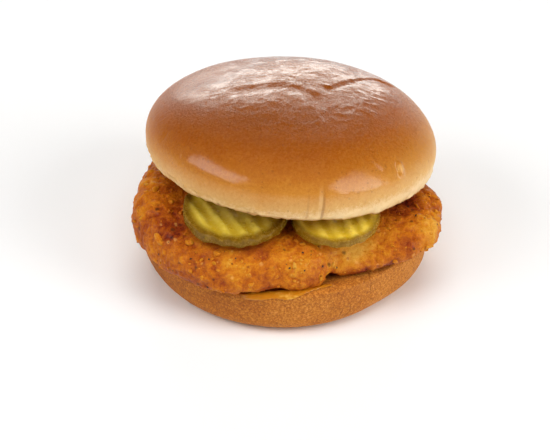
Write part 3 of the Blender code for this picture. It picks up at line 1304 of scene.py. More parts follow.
@dataclass(frozen=True)
class PickleFlesh:
    """Wet, translucent pickle: yellow-green flesh with a seedy middle, inside a dark olive skin.

    Its fades run from the middle out, as shares of the slice's radius, or on a pattern's own value.
    """

    place: Matrix
    radius: float
    pitch: float
    # How much lighter or darker this slice is painted: painted light or shade, one value per slice.
    lightness: float
    skin_from: float
    skin_fade: float = 0.16
    skin_unevenness: float = 0.06
    flesh: Colour = shade(208, 174, 44)
    # Painted highlight on the ridges' crests and painted shade in their valleys: crest is paler and valley
    # darker than the flesh.
    crest: Colour = shade(240, 216, 94)
    valley: Colour = shade(192, 156, 36)
    heart: Colour = shade(206, 190, 104)
    skin: Colour = shade(154, 116, 24)
    skin_dark: Colour = shade(122, 86, 14)
    ridge_unevenness: float = 1.3
    ridge_light: Fade = Fade(-1.1, 1.3)
    even_flesh: Fade = Fade(0.2, 0.8, 0.70, 0.25)
    heart_light: Fade = Fade(0.62, 0.20, 0.0, 0.35)
    seeds: Flecks = Flecks(0.0042, 0.5, 0.45, shade(228, 212, 140))
    seeded: Fade = Fade(0.60, 0.42)
    skin_grain: Fade = Fade(0.35, 0.68)
    warts: Flecks = Flecks(0.0024, 0.35, 0.4, shade(166, 136, 44))
    roughness: Fade = Fade(0.3, 0.7, 0.16, 0.34)
    wetness: float = 0.22
    grain_relief: float = 0.0003
    wart_relief: float = 0.0002
    substance: Substance = Substance(0.35, (1.0, 0.9, 0.25), 0.0022, shine=0.20, coat_roughness=0.08)

    def tinted(self, colour: Colour) -> Colour:
        """A colour, lightened or darkened by this slice's painted light or shade."""
        return tuple(min(1.0, value * self.lightness) for value in colour)

    def make(self, name: str) -> bpy.types.Material:
        """Builds the material.

        Args:
            name: The material's name.

        Returns:
            The pickle, from its middle out to its skin.
        """
        made, graph, shader = new_material(name)
        spot = graph.place(self.place.translation, self.place.to_euler())
        parts = graph.add("SeparateXYZ", {0: spot})
        reach = graph.math("DIVIDE", graph.reach(parts), self.radius)
        patches = effect(graph, Effects.mottle(), spot, size=0.005, contrast=2.4)
        fine = effect(graph, Effects.grain(), spot, coarse=0.0018, fine=0.0005, fine_share=0.4)

        # The ripple follows the slice's ridges: crests get a painted highlight, valleys painted shade.
        ripple = graph.math("SINE", graph.math("MULTIPLY", parts.outputs[0], math.tau / self.pitch))
        ripple = graph.math("ADD", ripple, graph.swing(patches, self.ridge_unevenness))
        crest = graph.fade(ripple, *self.ridge_light)
        flesh = graph.mix(crest, self.tinted(self.valley), self.tinted(self.crest))
        flesh = graph.mix(graph.fade(patches, *self.even_flesh), flesh, self.tinted(self.flesh))
        flesh = graph.mix(graph.fade(reach, *self.heart_light), flesh, self.heart)
        seeds = graph.math("MULTIPLY", self.seeds.mask(graph, spot), graph.fade(reach, *self.seeded))
        flesh = self.seeds.over(graph, seeds, flesh)

        grained = graph.fade(fine, *self.skin_grain)
        skin = graph.mix(grained, self.tinted(self.skin_dark), self.tinted(self.skin))
        warts = self.warts.mask(graph, spot)
        skin = self.warts.over(graph, warts, skin)
        edge = graph.math("ADD", reach, graph.math("MULTIPLY", fine, self.skin_unevenness))
        outside = graph.fade(edge, self.skin_from, self.skin_from + self.skin_fade)
        graph.feed(shader.inputs["Base Color"], graph.mix(outside, flesh, skin))
        graph.feed(shader.inputs["Roughness"], graph.fade(fine, *self.roughness))
        wet = graph.math("MULTIPLY", graph.math("SUBTRACT", 1.0, outside), self.wetness)
        graph.feed(shader.inputs["Coat Weight"], wet)
        self.substance.set_on(shader)
        normal = graph.bump(warts, self.wart_relief, graph.bump(fine, self.grain_relief))
        graph.feed(shader.inputs["Normal"], normal)
        return made


@dataclass(frozen=True)
class MeltedButter:
    """Melted butter that has run with the fryer's oil: amber, with paler cream streaks, partly its own colour
    and partly painted glints, nearly mirror smooth.
    """

    amber: Colour = shade(190, 118, 18)
    cream: Colour = shade(226, 168, 66)
    streaks: Fade = Fade(0.5, 0.9)
    roughness: Fade = Fade(0.0, 1.0, 0.10, 0.26)
    ripple_relief: float = 0.00012
    substance: Substance = Substance(0.3, (1.0, 0.6, 0.15), 0.002)

    def make(self) -> bpy.types.Material:
        """Builds the material.

        Returns:
            The butter.
        """
        made, graph, shader = new_material("melted_butter")
        spot = graph.add("TexCoord").outputs["Object"]
        patches = effect(graph, Effects.mottle(), spot, size=0.006, contrast=2.4)
        fine = effect(graph, Effects.grain(), spot, coarse=0.0012, fine=0.0005, fine_share=0.3)
        # The cream streaks are partly the butter's own paler colour and partly painted glints.
        streaks = graph.fade(patches, *self.streaks)
        graph.feed(shader.inputs["Base Color"], graph.mix(streaks, self.amber, self.cream))
        graph.feed(shader.inputs["Roughness"], graph.fade(patches, *self.roughness))
        self.substance.set_on(shader)
        graph.feed(shader.inputs["Normal"], graph.bump(fine, self.ripple_relief))
        return made


# ---------------------------------------------------------------------------------------------------------
# The burger's pieces


@dataclass(frozen=True)
class ButterStrip:
    """Where the melted butter runs: an uneven strip along the front of the heel's cut edge."""

    from_deg: float = -106.0
    to_deg: float = -70.0
    width: float = 0.0038
    bluntness: float = 0.7
    inset: float = 0.0008
    drift: float = 0.0020
    drift_over: Rise = (0.10, 0.85)
    wobble: float = 0.0004
    wobble_per_degree: float = 0.35
    least_upward: float = 0.2
    thickness: float = 0.0007
    voxel: float = 0.00028
    relief: Relief = Relief(Texture.CLOUDY, 0.0045, 0.0003)

    def covers(self, middle: Vector, normal: Vector, radius: float) -> bool:
        """Whether butter covers the bread at a face.

        Args:
            middle: The face's middle.
            normal: Its normal.
            radius: The bread's radius.

        Returns:
            True inside the strip, where the bread faces up enough to hold it.
        """
        angle = math.degrees(math.atan2(middle.y, middle.x))
        share = (angle - self.from_deg) / (self.to_deg - self.from_deg)
        if not 0.0 < share < 1.0:
            return False
        wobble = self.wobble * math.sin(angle * self.wobble_per_degree)
        course = radius - self.inset - self.drift * smoothstep(*self.drift_over, share) + wobble
        half_width = 0.5 * self.width * math.sin(math.pi * share) ** self.bluntness
        return abs(middle.xy.length - course) < half_width and normal.z > self.least_upward


@dataclass
class Heel:
    """The bun's bottom half: a flat foot, a round corner, a steep side and a toasted cut face."""

    node: str = "bun_heel"
    segments: int = 64
    side_share: float = 0.92
    foot_corner: float = 0.0070
    edge_curve: float = 0.0010
    side_cuts: tuple[float, ...] = (0.45, 0.75)
    cut_insets: tuple[float, ...] = (0.006, 0.011, 0.016)
    crust_above_foot: Rise = (0.0010, 0.0060)
    crust_inside_rim: Rise = (0.0060, 0.0005)
    strip: ButterStrip = ButterStrip()
    reliefs: tuple[Relief, ...] = (
        Relief(Texture.CLOUDY, 0.0240, 0.0011, group="crust"),
        Relief(Texture.CLOUDY, 0.0070, 0.0003, group="crust"),
        Relief(Texture.CLOUDY, 0.0021, 0.00018, octaves=2),
    )
    pieces: list[bpy.types.Object] = field(default_factory=list)

    def __post_init__(self) -> None:
        """Reads the heel's size from its solid."""
        low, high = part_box(self.node)
        self.radius = (high.x - low.x + high.y - low.y) / 4.0
        self.height = high.z * self.side_share

    def build(self) -> None:
        """Models the bread and the butter on it."""
        bread = self.bread()
        finish = HeelCrust(self.radius).make()
        hand_over(bread, Slot.HEEL, finish, self.node)
        butter = self.butter(bread)
        hand_over(butter, Slot.FILLET, MeltedButter().make())
        self.pieces += [bread, butter]

    def bread(self) -> bpy.types.Object:
        """Shapes a cylinder into the heel, draws it onto the solid and roughens its crust.

        Returns:
            The bread.
        """
        clear_selection()
        middle = (0.0, 0.0, self.height / 2.0)
        bpy.ops.mesh.primitive_cylinder_add(
            vertices=self.segments, radius=self.radius, depth=self.height, location=middle
        )
        bread = named("heel_bread")
        bpy.ops.object.transform_apply(location=True)
        shaper = Shaper(bread)
        shaper.choose_edges(lambda middle, along: middle.z < CLOSE and is_level(along))
        shaper.bevel(self.foot_corner, 5)
        for share in self.side_cuts:
            bpy.ops.mesh.select_all(action="SELECT")
            level = self.foot_corner + share * (self.height - self.foot_corner)
            bpy.ops.mesh.bisect(plane_co=(0.0, 0.0, level), plane_no=UP)
        shaper.choose_edges(lambda middle, along: middle.z > self.height - CLOSE and is_level(along))
        shaper.bevel(self.edge_curve, 2)
        shaper.choose_faces(
            lambda middle, normal: normal.z > STRAIGHT and middle.xy.length < self.radius / 2.0
        )
        shaper.inset(*self.cut_insets)
        shaper.choose_faces(lambda middle, normal: normal.z < -STRAIGHT)
        shaper.inset(*self.cut_insets)
        shaper.close()
        subdivide_smoothly(bread, 1)
        wrap_onto(bread, self.node)
        subdivide_smoothly(bread, 2)
        paint(bread, "crust", self.crusty)
        for relief in self.reliefs:
            relief.press_into(bread)
        return bread

    def crusty(self, point: Vector) -> float:
        """How much a point lies on the side, away from the foot and from the cut face.

        Args:
            point: The point.

        Returns:
            A share from 0 to 1.
        """
        inner, outer = (self.radius - inset for inset in self.crust_inside_rim)
        return smoothstep(*self.crust_above_foot, point.z) * smoothstep(inner, outer, point.xy.length)

    def butter(self, bread: bpy.types.Object) -> bpy.types.Object:
        """Takes the bread's surface where the butter runs and thickens it into a smooth film.

        Args:
            bread: The finished bread.

        Returns:
            The butter.
        """
        focus(bread)
        bpy.ops.object.duplicate(linked=False)
        butter = named("melted_butter")
        butter.parent = None
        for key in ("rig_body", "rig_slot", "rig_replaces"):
            del butter[key]
        butter.vertex_groups.clear()
        shaper = Shaper(butter)
        shaper.choose_faces(lambda middle, normal: not self.strip.covers(middle, normal, self.radius))
        bpy.ops.mesh.delete(type="FACE")
        shaper.close()
        finish_with(butter, "SOLIDIFY", thickness=self.strip.thickness, offset=1.0)
        finish_with(butter, "REMESH", mode="VOXEL", voxel_size=self.strip.voxel)
        finish_with(butter, "SMOOTH", factor=0.6, iterations=14)
        self.strip.relief.press_into(butter)
        return butter


@dataclass(frozen=True)
class Crumbs:
    """Small hard bits strewn over a surface as one joined mesh, each a copy of one of a few shaped bits."""

    name: str
    count: int
    smallest: float
    largest: float
    sunk: float
    seed: int
    flatness: float = 0.75
    kinds: int = 5
    rarity_of_large: float = 2.6
    stretch: tuple[float, Place] = (0.8, (1.25, 1.25, 1.2))

    def bit(self, number: int) -> tuple[np.ndarray, list[tuple[int, ...]]]:
        """Models one bit by hand from a small sphere.

        Args:
            number: Which kind of bit it is.

        Returns:
            Its points, about one unit across, and its faces.
        """
        clear_selection()
        bpy.ops.mesh.primitive_ico_sphere_add(subdivisions=2, radius=0.5)
        made = named(f"{self.name}_bit")
        shaper = Shaper(made)
        bpy.ops.mesh.select_all(action="SELECT")
        bpy.ops.transform.vertex_random(offset=0.20, uniform=0.6, seed=self.seed + number)
        bpy.ops.mesh.vertices_smooth(factor=0.35)
        bpy.ops.transform.resize(value=(1.25, 0.85, self.flatness))
        shaper.face_outwards()
        shaper.close()
        points, _ = points_and_normals(made)
        faces = [tuple(polygon.vertices) for polygon in made.data.polygons]
        bpy.data.objects.remove(made)
        return points, faces

    def scatter(
        self, surface: bpy.types.Object, weight_of: Weight, shown: Sequence[Place] = ()
    ) -> bpy.types.Object:
        """Strews the bits over a surface.

        Args:
            surface: The piece they stick to.
            weight_of: How thickly they lie at a point, from 0 to 1.
            shown: Bits at set places, each (x, y, size), dropped onto the surface from above.

        Returns:
            The joined bits.
        """
        chance = random.Random(self.seed)
        bits = [self.bit(number) for number in range(self.kinds)]
        polygons = surface.data.polygons
        areas = np.array([polygon.area * weight_of(polygon.center) for polygon in polygons])
        totals = areas.cumsum()
        spots = []
        for _ in range(self.count):
            polygon = polygons[int(np.searchsorted(totals, chance.random() * totals[-1]))]
            size = self.smallest + (self.largest - self.smallest) * chance.random() ** self.rarity_of_large
            spots.append((polygon.center.copy(), polygon.normal.copy(), size))
        for x, y, size in shown:
            hit, point, normal, _ = surface.ray_cast(Vector((x, y, ABOVE)), -UP)
            if hit:
                spots.append((point, normal, size))
        points, faces, start = [], [], 0
        for point, normal, size in spots:
            shape, sides = bits[chance.randrange(self.kinds)]
            turn = Matrix.Rotation(chance.uniform(0.0, math.tau), 3, "Z")
            turn = normal.to_track_quat("Z", "Y").to_matrix() @ turn
            stretch = np.array([chance.uniform(self.stretch[0], most) for most in self.stretch[1]])
            lift = np.array(point) + np.array(normal) * size * self.flatness * (0.5 - self.sunk)
            points.append((shape * stretch * size) @ np.array(turn).T + lift)
            faces += [tuple(corner + start for corner in side) for side in sides]
            start += len(shape)
        mesh = bpy.data.meshes.new(self.name)
        mesh.from_pydata(np.concatenate(points).tolist(), [], faces)
        made = bpy.data.objects.new(self.name, mesh)
        bpy.context.scene.collection.objects.link(made)
        return made


@dataclass
class Fillet:
    """The breaded fillet, with loose crumbs and ground pepper fried onto it."""

    node: str = "chicken_fillet"
    voxel: float = 0.00056
    front_lump: Swell = Swell(0.0014, 0.0075, (0.0090, -0.0500, 0.0275))
    right_lip: Swell = Swell(0.0034, 0.0044, (0.0200, -0.0452, 0.0205), (0.0450, -0.0368, 0.0255))
    front_lip: Swell = Swell(0.0020, 0.0034, (0.0030, -0.0515, 0.0195), (0.0125, -0.0490, 0.0200))
    front_notch: Swell = Swell(-0.0016, 0.0030, (0.0176, -0.0462, 0.0203))
    full_relief: float = 0.0012
    least_open: float = 0.06
    heel_cover: Rise = (0.002, 0.012)
    underside: Rise = (0.0205, 0.0185)
    pickle_level: float = 0.028
    pickle_cover: Rise = (0.0005, -0.0015)
    crumbs: Crumbs = Crumbs("fried_crumbs", 560, 0.0006, 0.0020, sunk=0.42, seed=11)
    crumbs_paler: float = 0.16
    pepper: Crumbs = Crumbs("ground_pepper", 220, 0.0003, 0.0008, sunk=0.15, seed=23, flatness=0.45, kinds=3)
    shown_crumbs: tuple[Place, ...] = (
        (-0.0445, -0.0397, 0.0036),
        (-0.0332, -0.0430, 0.0025),
        (-0.0234, -0.0488, 0.0028),
        (-0.0243, -0.0515, 0.0017),
        (-0.0372, -0.0300, 0.0020),
        (-0.0474, -0.0180, 0.0024),
        (-0.0250, -0.0500, 0.0014),
    )
    # The spots at heights near 0.02 darken the gaps under the fillet's lower edge as painted shadow; the first
    # two, high on the left, add painted shade below the crown's edge; the rest vary the fried tone.
    tone_spots: tuple[ToneSpot, ...] = (
        ToneSpot((-0.0385, -0.0300, 0.0350), 0.0120, -0.12),
        ToneSpot((-0.0405, -0.0388, 0.0332), 0.0075, -0.26),
        ToneSpot((-0.0490, -0.0270, 0.0330), 0.0070, 0.14),
        ToneSpot((0.0440, -0.0240, 0.0335), 0.0125, -0.20),
        ToneSpot((-0.0120, -0.0475, 0.0315), 0.0065, -0.16),
        ToneSpot((0.0050, -0.0440, 0.0320), 0.0060, -0.16),
        ToneSpot((0.0175, -0.0455, 0.0200), 0.0042, -0.55),
        ToneSpot((0.0050, -0.0510, 0.0185), 0.0036, -0.45),
        ToneSpot((-0.0060, -0.0555, 0.0185), 0.0050, -0.25),
        ToneSpot((0.0280, -0.0430, 0.0195), 0.0050, -0.30),
        ToneSpot((0.0380, -0.0385, 0.0215), 0.0050, -0.30),
        ToneSpot((0.0203, -0.0440, 0.0275), 0.0110, 0.32),
        ToneSpot((0.0290, -0.0412, 0.0285), 0.0100, 0.28),
        ToneSpot((0.0050, -0.0485, 0.0300), 0.0110, 0.26),
        ToneSpot((-0.0187, -0.0520, 0.0300), 0.0100, 0.05),
        ToneSpot((-0.0116, -0.0542, 0.0274), 0.0110, 0.07),
        ToneSpot((-0.0480, -0.0380, 0.0300), 0.0090, 0.10),
        ToneSpot((0.0520, -0.0280, 0.0290), 0.0110, 0.28),
    )
    reliefs: tuple[Relief, ...] = (
        Relief(Texture.CLOUDY, 0.0120, 0.0017, group="open"),
        Relief(Texture.CELLS, 0.0050, -0.0009, group="open", level=0.45),
        Relief(Texture.RIDGED, 0.0036, 0.0006, octaves=2, group="open", level=0.6),
        Relief(Texture.CLOUDY, 0.0015, 0.0011, octaves=2, group="open"),
    )
    pieces: list[bpy.types.Object] = field(default_factory=list)

    def __post_init__(self) -> None:
        """Reads where the heel and the pickle slices cover the fillet."""
        low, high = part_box("bun_heel")
        self.heel_radius = (high.x - low.x) / 2.0
        self.covers = []
        for node in ("pickle_left", "pickle_right"):
            low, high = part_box(node)
            self.covers.append((((low + high) / 2.0).xy, (high.x - low.x) / 2.0))

    def build(self) -> None:
        """Models the breading, then strews the crumbs and the pepper over it."""
        fillet = self.breading()
        hand_over(fillet, Slot.FILLET, Breading(self.tone_spots).make(), self.node)
        crumbs = self.crumbs.scatter(fillet, self.open_to_view, self.shown_crumbs)
        finish = Breading(self.tone_spots).make("loose_crumb", self.crumbs_paler)
        hand_over(crumbs, Slot.FILLET, finish)
        pepper = self.pepper.scatter(fillet, self.open_to_view)
        hand_over(pepper, Slot.FILLET, PepperSpecks().make())
        self.pieces += [fillet, crumbs, pepper]

    def breading(self) -> bpy.types.Object:
        """Remeshes a copy of the solid finely and presses the breading's relief into it.

        Returns:
            The fillet, with its relief stored for the finish.
        """
        fillet = copy_of_node(self.node, "fillet_breading")
        subdivide_smoothly(fillet, 1)
        finish_with(fillet, "REMESH", mode="VOXEL", voxel_size=self.voxel)
        finish_with(fillet, "SMOOTH", factor=0.5, iterations=12)
        for swell in (self.front_lump, self.right_lip, self.front_lip, self.front_notch):
            swell.press_into(fillet)
        smooth, normals = points_and_normals(fillet)
        paint(fillet, "open", self.open_to_view)
        for relief in self.reliefs:
            relief.press_into(fillet)
        # The stored relief lets the finish paint shade into the hollows.
        keep_relief(fillet, smooth, normals, self.full_relief)
        return fillet

    def open_to_view(self, point: Vector) -> float:
        """How free the surface is to be rough: little where it lies on the heel or carries what is above it.

        Args:
            point: A point on the fillet.

        Returns:
            A share from 0 to 1.
        """
        outer, inner = (self.heel_radius - inset for inset in self.heel_cover)
        closed = smoothstep(outer, inner, point.xy.length) * smoothstep(*self.underside, point.z)
        if point.z > self.pickle_level:
            for middle, radius in self.covers:
                outer, inner = (radius + past for past in self.pickle_cover)
                closed = max(closed, smoothstep(outer, inner, (point.xy - middle).length))
        return max(self.least_open, 1.0 - closed)


@dataclass
class PickleSlice:
    """A crinkle-cut slice: a slab rippled as by a wavy blade, trimmed to the cucumber's round."""

    node: str
    name: str
    ridge_turn_deg: float
    ridge: float
    lightness: float
    skin_from: float
    segments: int = 72
    thickness: float = 0.0045
    pitch: float = 0.0052
    clearance: float = 0.0002
    voxel: float = 0.00034
    outline: Relief = Relief(Texture.CLOUDY, 0.0140, 0.0010)
    reliefs: tuple[Relief, ...] = (
        Relief(Texture.CLOUDY, 0.0075, 0.0012),
        Relief(Texture.CLOUDY, 0.0024, 0.0004, octaves=2),
    )
    pieces: list[bpy.types.Object] = field(default_factory=list)

    def __post_init__(self) -> None:
        """Reads the slice's place, lean and radius from its solid."""
        points = np.array([vertex.co for vertex in frame["nodes"][self.node].data.vertices])
        middle = (points.max(axis=0) + points.min(axis=0)) / 2.0
        up = Vector(np.linalg.svd(points - points.mean(axis=0), full_matrices=False)[2][2])
        up = up if up.z > 0.0 else -up
        turn = Matrix.Rotation(math.radians(self.ridge_turn_deg), 4, "Z")
        self.place = upright_at(Vector(middle), up) @ turn
        low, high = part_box(self.node)
        self.radius = (high.x - low.x) / 2.0 - self.clearance

    def build(self) -> None:
        """Models the slice and dresses it."""
        slice_ = self.trimmed()
        for relief in self.reliefs:
            relief.press_into(slice_)
        settle(slice_, self.place)
        flesh = PickleFlesh(self.place, self.radius, self.pitch, self.lightness, self.skin_from)
        hand_over(slice_, Slot.PICKLE, flesh.make(self.name), self.node)
        self.pieces.append(slice_)

    def rippled_slab(self) -> bpy.types.Object:
        """Ripples a grid by moving its crests up and its valleys down, and gives it the slice's thickness.

        Returns:
            The slab, a little wider than the slice.
        """
        step = self.pitch / 4.0
        columns = 2 * math.ceil((self.radius + self.pitch) / step)
        clear_selection()
        bpy.ops.mesh.primitive_grid_add(x_subdivisions=columns, y_subdivisions=2, size=2.0)
        slab = named("rippled_slab")
        slab.scale = (columns * step / 2.0, self.radius + self.pitch, 1.0)
        bpy.ops.object.transform_apply(scale=True)
        shaper = Shaper(slab)
        rise = 1.5 * self.ridge
        for direction, phase in ((1.0, 1.0), (-1.0, 3.0)):

            def on_ridge(middle: Vector, along: Vector) -> bool:
                """Whether an edge runs along a crest or, at the other phase, along a valley."""
                return abs(along.x) < 0.5 and abs(((middle.x / step - phase + 2.0) % 4.0) - 2.0) < 0.1

            shaper.choose_edges(on_ridge)
            shaper.move(Vector((0.0, 0.0, direction * rise)))
        bpy.ops.mesh.select_all(action="SELECT")
        bpy.ops.mesh.extrude_region_move(TRANSFORM_OT_translate={"value": (0.0, 0.0, -self.body_thickness())})
        shaper.face_outwards()
        bpy.ops.mesh.select_all(action="SELECT")
        shaper.move(Vector((0.0, 0.0, self.body_thickness() / 2.0)))
        shaper.close()
        subdivide_smoothly(slab, 3)
        return slab

    def body_thickness(self) -> float:
        """The distance from a crest on one face to the crest that follows it on the other."""
        return self.thickness - 2.0 * self.ridge

    def trimmed(self) -> bpy.types.Object:
        """Trims the slab with a slightly uneven round, closes its mesh finely and softens its edges.

        Returns:
            The slice, about the origin.
        """
        slab = self.rippled_slab()
        clear_selection()
        depth = self.thickness * 3.0
        bpy.ops.mesh.primitive_cylinder_add(vertices=self.segments, radius=self.radius, depth=depth)
        round_ = named("pickle_round")
        self.outline.press_into(round_)
        finish_with(slab, "BOOLEAN", operation="INTERSECT", object=round_, solver="EXACT")
        bpy.data.objects.remove(round_)
        slab.name = slab.data.name = self.name
        finish_with(slab, "REMESH", mode="VOXEL", voxel_size=self.voxel)
        finish_with(slab, "SMOOTH", factor=0.5, iterations=14)
        return slab


@dataclass(frozen=True)
class Crease:
    """A fold or scratch in the crown's skin, between two places given as (angle, height above the cut)."""

    start: tuple[float, float]
    end: tuple[float, float]
    width: float
    depth: float


@dataclass(frozen=True)
class Fold:
    """A fold in the skin of the crown's top: a low ridge along a course seen from above, a dip before it."""

    course: tuple[tuple[float, float], ...]
    ridge: float
    ridge_width: float
    dip: float
    dip_width: float
    dip_ahead: float

    def near(self, ahead: float, width: float, upper: Weight) -> Weight:
        """Makes the weight of the course, or of the same course drawn a little further forward.

        Args:
            ahead: How far forward the course is drawn.
            width: How wide the fold is there.
            upper: 1 on the part of the dome that can be folded, 0 elsewhere.

        Returns:
            The weight at a point, from 0 to 1.
        """
        places = [Vector((x, y - ahead, 0.0)) for x, y in self.course]
        stretches = list(zip(places, places[1:]))

        def weight_of(point: Vector) -> float:
            """How near a point is, seen from above.

            Args:
                point: The point.

            Returns:
                The weight, from 0 to 1.
            """
            share = upper(point)
            if share == 0.0:
                return 0.0
            spot = Vector((point.x, point.y, 0.0))
            return share * bell(min(to_segment(spot, start, end) for start, end in stretches), width)

        return weight_of


@dataclass(frozen=True)
class Ledge:
    """A low step in the crown's side, where a fold of dough has baked shut, running up from the cut."""

    angle_deg: float = -79.1
    step: float = 0.0006
    edge: float = 0.0007
    width: float = 0.0130
    foot: Rise = (0.0006, 0.0026)
    head: Rise = (0.0160, 0.0100)

    def weight(self, spot: Vector, radius: float) -> float:
        """1 just past the step's edge, fading away to its right and past its ends.

        Args:
            spot: A point, in the crown's own upright space.
            radius: The crown's radius.

        Returns:
            The weight, from 0 to 1.
        """
        past = (math.atan2(spot.y, spot.x) - math.radians(self.angle_deg)) * radius
        across = smoothstep(0.0, self.edge, past) * smoothstep(self.width, self.edge, past)
        return across * smoothstep(*self.foot, spot.z) * smoothstep(*self.head, spot.z)


@dataclass
class Crown:
    """The bun's top half: a flat cut face under a wide, low dome whose skin wrinkles towards the top."""

    node: str = "bun_crown"
    segments: int = 64
    cut_radius: float = 0.0526
    radius: float = 0.0546
    widest_height: float = 0.0072
    height: float = 0.0300
    fullness: float = 1.92
    edge_steps: int = 3
    dome_steps: int = 12
    last_ring_deg: float = 86.0
    fullness_gain: float = 0.0006
    filled_to_back: Rise = (0.058, 0.050)
    filled_to_top: Rise = (0.069, 0.064)
    dome_from: Rise = (0.004, 0.016)
    upper_from: Rise = (0.014, 0.018)
    wrinkled_from: Rise = (0.0215, 0.0270)
    rim_height: float = 0.0010
    rim_reach: float = 0.0026
    cut_until: Rise = (0.0006, 0.0001)
    cut_insets: tuple[float, ...] = (0.004, 0.012, 0.018)
    creases: tuple[Crease, ...] = (
        Crease((-152.0, 0.0020), (-153.0, 0.0140), 0.0012, -0.0003),
        Crease((-79.3, 0.0010), (-79.3, 0.0135), 0.0008, -0.0004),
        Crease((-86.0, 0.0020), (-85.0, 0.0070), 0.0006, -0.0003),
        Crease((-137.0, 0.0100), (-141.0, 0.0168), 0.0008, -0.0003),
        Crease((-56.4, 0.0189), (-52.1, 0.0156), 0.0009, 0.0004),
        Crease((-43.5, 0.0126), (-42.6, 0.0150), 0.0013, 0.0010),
        Crease((-45.4, 0.0122), (-44.8, 0.0152), 0.0010, -0.0006),
    )
    wave: Fold = Fold(
        ((-0.0166, 0.0036), (-0.0085, 0.0056), (0.0000, 0.0070), (0.0055, 0.0040), (0.0109, 0.0006)),
        ridge=0.00020,
        ridge_width=0.0018,
        dip=-0.00060,
        dip_width=0.0036,
        dip_ahead=0.0040,
    )
    fold: Fold = Fold(
        ((0.0160, 0.0060), (0.0225, 0.0125), (0.0300, 0.0215), (0.0352, 0.0272), (0.0410, 0.0276)),
        ridge=0.00025,
        ridge_width=0.0014,
        dip=-0.00050,
        dip_width=0.0018,
        dip_ahead=0.0022,
    )
    ledge: Ledge = Ledge()
    blister: tuple[float, float] = (-43.0, 0.0138)
    reliefs: tuple[Relief, ...] = (
        Relief(Texture.CLOUDY, 0.0340, 0.0016, octaves=0, group="dome"),
        Relief(Texture.CLOUDY, 0.0090, 0.0005, group="wrinkled"),
        Relief(Texture.RIDGED, 0.0042, 0.00022, octaves=2, group="wrinkled", level=0.6),
        Relief(Texture.CLOUDY, 0.0014, 0.00018, group="wrinkled"),
        Relief(Texture.CLOUDY, 0.0070, 0.0018, group="rim"),
        Relief(Texture.CLOUDY, 0.0018, 0.0014, octaves=2, group="rim"),
        Relief(Texture.CLOUDY, 0.0024, 0.00012, octaves=2),
        Relief(Texture.CLOUDY, 0.0016, 0.0006, octaves=2, group="cut"),
    )
    pieces: list[bpy.types.Object] = field(default_factory=list)

    def __post_init__(self) -> None:
        """Reads the crown's place and lean from its solid's flat cut face."""
        middle, down = flat_side(self.node, -UP)
        self.place = upright_at(middle, -down)

    def build(self) -> None:
        """Models the dome and dresses it."""
        dome = self.dome()
        settle(dome, self.place)
        subdivide_smoothly(dome, 1)
        wrap_onto(dome, self.node)
        subdivide_smoothly(dome, 2)
        self.roughen(dome)
        blister = self.at(*self.blister)
        finish = CrownCrust(self.place, self.height, self.radius, self.ledge.angle_deg, blister).make()
        hand_over(dome, Slot.CROWN, finish, self.node)
        self.pieces.append(dome)

    def profile(self) -> list[tuple[float, float]]:
        """The crown's outline from the cut face to near its top.

        Returns:
            The radius and height of each ring.
        """
        points = []
        for step in range(self.edge_steps + 1):
            turn = math.radians(90.0 * step / self.edge_steps)
            radius = self.cut_radius + (self.radius - self.cut_radius) * math.sin(turn)
            points.append((radius, self.widest_height * (1.0 - math.cos(turn))))
        rise = self.height - self.widest_height
        power = 2.0 / self.fullness
        for step in range(1, self.dome_steps + 1):
            turn = math.radians(self.last_ring_deg * step / self.dome_steps)
            radius = self.radius * math.cos(turn) ** power
            points.append((radius, self.widest_height + rise * math.sin(turn) ** power))
        return points

    def dome(self) -> bpy.types.Object:
        """Draws a thin disc up into the dome, ring by ring.

        Returns:
            The dome's cage, upright about the origin.
        """
        rings = self.profile()
        first = rings[1][1]
        clear_selection()
        middle = (0.0, 0.0, first / 2.0)
        bpy.ops.mesh.primitive_cylinder_add(
            vertices=self.segments, radius=self.cut_radius, depth=first, location=middle
        )
        dome = named("crown_bread")
        bpy.ops.object.transform_apply(location=True)
        shaper = Shaper(dome)
        shaper.choose_faces(lambda middle, normal: normal.z > STRAIGHT)
        ratio = rings[1][0] / self.cut_radius
        bpy.ops.transform.resize(value=(ratio, ratio, 1.0), center_override=(0.0, 0.0, first))
        shaper.draw_up(rings[1:])
        shaper.choose_faces(lambda middle, normal: normal.z < -STRAIGHT)
        shaper.inset(*self.cut_insets)
        shaper.close()
        return dome

    def at(self, angle: float, height: float) -> Vector:
        """A point on the dome's smooth surface.

        Args:
            angle: The angle round its own axis, from its +X.
            height: The height above the cut face.

        Returns:
            The point, in place.
        """
        share = min(1.0, max(0.0, (height - self.widest_height) / (self.height - self.widest_height)))
        radius = self.radius * (1.0 - share**self.fullness) ** (1.0 / self.fullness)
        turn = math.radians(angle)
        return self.place @ Vector((radius * math.cos(turn), radius * math.sin(turn), height))

    def roughen(self, dome: bpy.types.Object) -> None:
        """Presses the wrinkles, creases and crumb into the dome.

        Args:
            dome: The smooth dome, in place.
        """
        back = self.place.inverted()

        def height_of(point: Vector) -> float:
            """The height above the cut face."""
            return (back @ point).z

        def upper(point: Vector) -> float:
            """1 on the upper half of the dome, 0 below."""
            return smoothstep(*self.upper_from, height_of(point))

        def on_side(point: Vector) -> float:
            """1 on the front and the sides, 0 at the top and at the back."""
            return smoothstep(*self.filled_to_back, point.y) * smoothstep(*self.filled_to_top, point.z)

